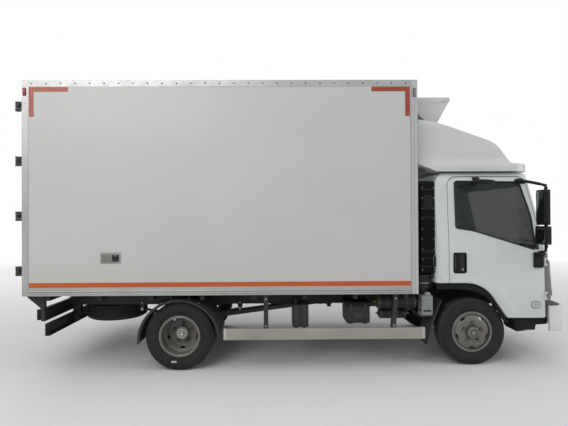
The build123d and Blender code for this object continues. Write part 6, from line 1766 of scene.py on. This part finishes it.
# Engine and gearbox: sump, ribs, cover, bell housing, fan and mounts
piece = Piece()
sump = [(-0.4, 0.482), (-0.4, 0.44), (-0.34, 0.405), (0.22, 0.405), (0.3, 0.455), (0.34, 0.482)]
piece.prism([(fa(x), z) for x, z in sump], "y", -0.155, 0.155, "engine", 0.01, 3)
piece.box((fa(-0.44), -0.185, 0.48), (fa(0.4), 0.185, 0.492), "cast", 0.003)
bolts(piece, [(fa(-0.42 + 0.074 * k), 0.176 * s, 0.48) for k in range(12) for s in (1, -1)], (0, 0, -1),
      0.006, 0.006)
for s in (1, -1):
    for k in range(7):
        x = -0.42 + 0.135 * k
        piece.box((fa(x), 0.268 * s, 0.52), (fa(x + 0.016), 0.282 * s, 0.84), "engine", 0.004)
    piece.box((fa(-0.45), 0.268 * s, 0.855), (fa(0.49), 0.278 * s, 0.872), "engine", 0.003)
    for k in range(6):
        piece.lathe([(0, 0.019), (0.008, 0.019), (0.011, 0.015)], (fa(-0.352 + 0.135 * k), 0.27 * s, 0.64),
                    (0, s, 0), "steel", 20, False)
    for z in (0.56, 0.72):
        piece.box((fa(-1.1), 0.168 * s, z), (fa(-0.5), 0.178 * s, z + 0.014), "engine", 0.003)
    for k in range(6):
        piece.box((fa(-1.06 + 0.1 * k), 0.168 * s, 0.545), (fa(-1.048 + 0.1 * k), 0.18 * s, 0.755), "engine",
                  0.003)
    piece.lathe([(0, 0.034), (0.03, 0.034), (0.034, 0.026)], (fa(-0.3), 0.29 * s, 0.5), (0, 0, -1), "black",
                28, False, 0.002)
    for x in (-0.38, 0.38):
        piece.lathe([(0, 0.042), (0.02, 0.046), (0.036, 0.042)], (fa(x), 0.315 * s, 0.7), (0, 0, 1), "seal",
                    28, False, 0.003)
        piece.bolt((fa(x), 0.315 * s, 0.736), (0, 0, 1), 0.011, 0.009, "steel")
piece.lathe([(-0.014, 0.0), (-0.014, 0.232), (0.01, 0.232), (0.022, 0.215), (0.022, 0.0)],
            (fa(-0.49), 0, 0.66), (1, 0, 0), "engine", 56)
bolts(piece, around((fa(-0.504), 0, 0.66), 0.222, 14, 0, "yz"), (-1, 0, 0), 0.008, 0.008)
piece.lathe([(0, 0.085), (0.012, 0.085), (0.012, 0.06), (0.03, 0.06)], (fa(-1.121), 0, 0.64), (-1, 0, 0),
            "cast", 40, False, 0.002)
piece.box((fa(-0.4), -0.115, 0.898), (fa(0.44), 0.115, 0.8995), "gloss_black", 0.0005, 1)
roots = around((fa(0.516), 0, 0.69), 0.045, 9, 0, "yz")
tips = around((fa(0.512), 0, 0.69), 0.185, 9, 0, "yz")
for root, tip in zip(roots, tips):
    piece.rod(root, tip, 0.013, "black", 8, 0, 0.02)
piece.lathe([(0, 0.055), (0.004, 0.055), (0.005, 0.03)], (fa(0.5145), 0, 0.69), (1, 0, 0), "steel", 36,
            False)
for x, z, way in ((fa(-1.12) - 0.062, 0.64, 1), (ra(0.29) + 0.064, 0.4, -1)):
    piece.lathe([(-0.01, 0.06), (0.006, 0.06), (0.01, 0.05), (0.034, 0.046)], (x, 0, z), (-way, 0, 0),
                "cast", 36, False, 0.002)
    bolts(piece, around((x + 0.01 * way, 0, z), 0.053, 8, 22.5, "yz"), (way, 0, 0), 0.0065, 0.007)
piece.finish("engine_details", "chassis", "cast_parts")

# Rear axle: cover ring, plugs, brake pipes, brake chambers and hub bolts
piece = Piece()
piece.lathe([(-0.01, 0.128), (-0.01, 0.15), (0.012, 0.15), (0.012, 0.128)], (REAR_AXLE - 0.088, 0, 0.38),
            (-1, 0, 0), "cast", 56, True, 0.002)
bolts(piece, around((REAR_AXLE - 0.1, 0, TYRE_R), 0.139, 10, 18, "yz"), (-1, 0, 0), 0.008, 0.008)
piece.bolt((REAR_AXLE - 0.163, 0.03, 0.395), (-1, 0, 0), 0.014, 0.01, "brass")
piece.bolt((REAR_AXLE, 0, 0.2165), (0, 0, -1), 0.014, 0.0012, "steel")
for side, s in SIDES:
    piece.tube([(REAR_AXLE - 0.02, 0.06 * s, 0.545), (REAR_AXLE - 0.045, 0.17 * s, 0.455),
                (REAR_AXLE - 0.045, 0.3 * s, 0.44), (REAR_AXLE - 0.062, 0.4 * s, 0.44),
                (REAR_AXLE - 0.05, 0.56 * s, 0.44)], 0.0045, "steel", 8)
    for y in (0.24, 0.47):
        piece.lathe([(-0.009, 0.0565), (-0.009, 0.0605), (0.009, 0.0605), (0.009, 0.0565)],
                    (REAR_AXLE, y * s, 0.38), (0, 1, 0), "steel", 40)
    bolts(piece, around((REAR_AXLE, 0.5955 * s, TYRE_R), 0.128, 12), (0, -s, 0), 0.007, 0.007)
    piece.lathe([(0, 0.04), (0.07, 0.046), (0.082, 0.036)], (REAR_AXLE + 0.09, 0.594 * s, 0.5),
                (0.25, -s, 0.15), "chassis", 32, False, 0.003)
piece.finish("rear_axle_details", "chassis", "cast_parts")

# Brake pipes and wiring along the rails, their clips, and the rails' rivets
piece = Piece()
for side, s in SIDES:
    for z, radius, finish in ((0.742, 0.0045, "steel"), (0.722, 0.0045, "steel"), (0.695, 0.01, "seal")):
        points = [(x, 0.352 * s, z) for x in (fa(0.6), fa(-0.2), fa(-1.2), fa(-2.2), ra(-0.8), ra(-1.4))]
        piece.tube(points, radius, finish, 10, 3)
    for k in range(11):
        x = fa(0.5 - 0.42 * k)
        piece.box((x - 0.006, 0.367 * s, 0.685), (x + 0.006, 0.341 * s, 0.752), "black", 0.003)
    for k in range(30):
        x = fa(0.8 - 0.155 * k)
        for z in (0.64, 0.765):
            piece.dome((x, 0.375 * s, z), (0, s, 0), 0.008, 0.005, "chassis", 12)
piece.tube([(REAR_AXLE - 0.02, 0.06, 0.545), (REAR_AXLE + 0.1, 0.1, 0.66), (REAR_AXLE + 0.16, 0.26, 0.735),
            (REAR_AXLE + 0.2, 0.35, 0.742)], 0.0065, "seal", 10)
piece.finish("frame_pipes", "chassis", "black_plastic")

# Entry steps: grip ribs and edge strips
piece = Piece()
for side, s in SIDES:
    for k in range(7):
        x = 0.545 + 0.025 * k
        z = 0.4 + 0.014 * (x - 0.532) / 0.184
        piece.box((fa(x), 0.7 * s, z - 0.002), (fa(x + 0.009), 0.912 * s, z + 0.004), "steel", 0.0015)
    for k in range(4):
        x = 0.738 + 0.027 * k
        piece.box((fa(x), 0.7 * s, 0.478), (fa(x + 0.009), 0.912 * s, 0.485), "steel", 0.0015)
    piece.box((fa(0.6), 0.9305 * s, 0.395), (fa(0.705), 0.9335 * s, 0.405), "grey", 0.001)
piece.finish("step_treads", "cab", "grey_plastic")


# Floor, light and camera

def mix_shaders(tree, factor, first, second):
    """Shader that goes from the first to the second by a factor."""
    made = tree.nodes.new("ShaderNodeMixShader")
    for socket, source in zip(made.inputs, (factor, first, second)):
        tree.links.new(source, socket)
    return made.outputs[0]


FLOOR_BOUNCE = (0.66, 0.65, 0.64)
FLOOR_HALF = 40
FLOOR_NEAR, FLOOR_FAR = 4.5, 15.0
floor_mesh = bpy.data.meshes.new("floor")
corners = ((-1, -1), (1, -1), (1, 1), (-1, 1))
floor_mesh.from_pydata([(x * FLOOR_HALF, y * FLOOR_HALF, 0) for x, y in corners], [], [(0, 1, 2, 3)])
floor = bpy.data.objects.new("floor", floor_mesh)
bpy.context.scene.collection.objects.link(floor)
pale = bpy.data.materials.new("floor_pale")
pale.use_nodes = True
tree = pale.node_tree
shader = tree.nodes["Principled BSDF"]
where = tree.nodes.new("ShaderNodeTexCoord").outputs["Object"]
shader.inputs["Roughness"].default_value = 0.9
shader.inputs["Specular IOR Level"].default_value = 0.1
path = tree.nodes.new("ShaderNodeLightPath")
seen_tone = mix(tree, noise(tree, where, 0.7, 6.0, 0.6), (0.8, 0.8, 0.8), (0.86, 0.86, 0.86))
tree.links.new(mix(tree, path.outputs["Is Camera Ray"], FLOOR_BOUNCE, seen_tone),
               shader.inputs["Base Color"])
reach = node(tree, "ShaderNodeVectorMath", operation="LENGTH")
tree.links.new(where, reach.inputs[0])
far = node(tree, "ShaderNodeMath", operation="MULTIPLY")
tree.links.new(ramp(tree, reach.outputs["Value"], FLOOR_NEAR, FLOOR_FAR), far.inputs[0])
tree.links.new(path.outputs["Is Camera Ray"], far.inputs[1])
glow = node(tree, "ShaderNodeEmission", Color=(1, 1, 1, 1), Strength=1.0)
tree.links.new(mix_shaders(tree, far.outputs[0], shader.outputs[0], glow.outputs[0]),
               tree.nodes["Material Output"].inputs[0])
floor_mesh.materials.append(pale)

world = bpy.data.worlds.new("studio")
bpy.context.scene.world = world
world.use_nodes = True
tree = world.node_tree
tree.nodes.clear()
path = tree.nodes.new("ShaderNodeLightPath")
seen = node(tree, "ShaderNodeMath", operation="MAXIMUM")
tree.links.new(path.outputs["Is Camera Ray"], seen.inputs[0])
tree.links.new(path.outputs["Is Transmission Ray"], seen.inputs[1])
bright, gloss, soft = [node(tree, "ShaderNodeBackground", Color=color, Strength=strength).outputs[0]
                       for color, strength in (((1, 1, 1, 1), 1.0), ((0.92, 0.94, 0.96, 1), 0.5),
                                               ((0.95, 0.97, 1.0, 1), 0.36))]
lit = mix_shaders(tree, path.outputs["Is Glossy Ray"], soft, gloss)
out = tree.nodes.new("ShaderNodeOutputWorld")
tree.links.new(mix_shaders(tree, seen.outputs[0], lit, bright), out.inputs[0])


def lamp(name, kind, place, target, energy, size, color=(1, 1, 1)):
    """Lamp that faces a place."""
    data = bpy.data.lights.new(name, kind)
    data.energy = energy
    data.color = color
    if kind == "AREA":
        data.size = size
    else:
        data.angle = math.radians(size)
    obj = bpy.data.objects.new(name, data)
    bpy.context.scene.collection.objects.link(obj)
    obj.location = place
    obj.rotation_euler = (Vector(target) - Vector(place)).to_track_quat("-Z", "Y").to_euler()


lamp("sky", "SUN", (0, 0, 12), (0.3, 0.6, 0), 0.52, 60)
lamp("key", "AREA", (-5.0, -9.0, 7.5), (0, 0, 1.3), 440, 7.0, (1.0, 0.985, 0.96))
lamp("fill", "AREA", (9.0, -3.0, 4.5), (1.5, 0, 1.2), 195, 5.0, (0.95, 0.97, 1.0))
lamp("back", "AREA", (-6.0, 8.0, 6.0), (0, 0, 1.4), 200, 6.0)

# Camera solved from the photo: angles in degrees, place in metres, and its focal length in pixels
CAMERA_ANGLES = (0.609, 0.333, -0.267)
CAMERA_PLACE = (-0.1995, -5.904, 1.732)
FOCAL_PIXELS, PICTURE_WIDTH, SENSOR = 432.4, 568.0, 36.0
yaw, pitch, roll = [math.radians(angle) for angle in CAMERA_ANGLES]
ahead = Vector((math.sin(yaw) * math.cos(pitch), math.cos(yaw) * math.cos(pitch), math.sin(pitch)))
right = Vector((math.cos(yaw), -math.sin(yaw), 0))
up = right.cross(ahead)
right, up = right * math.cos(roll) + up * math.sin(roll), up * math.cos(roll) - right * math.sin(roll)
camera_data = bpy.data.cameras.new("camera")
camera_data.sensor_width = SENSOR
camera_data.lens = FOCAL_PIXELS * SENSOR / PICTURE_WIDTH
camera = bpy.data.objects.new("camera", camera_data)
bpy.context.scene.collection.objects.link(camera)
rows = [(right[i], up[i], -ahead[i], CAMERA_PLACE[i]) for i in range(3)]
camera.matrix_world = Matrix(rows + [(0, 0, 0, 1)])
bpy.context.scene.camera = camera
bpy.context.scene.view_settings.view_transform = "Standard"
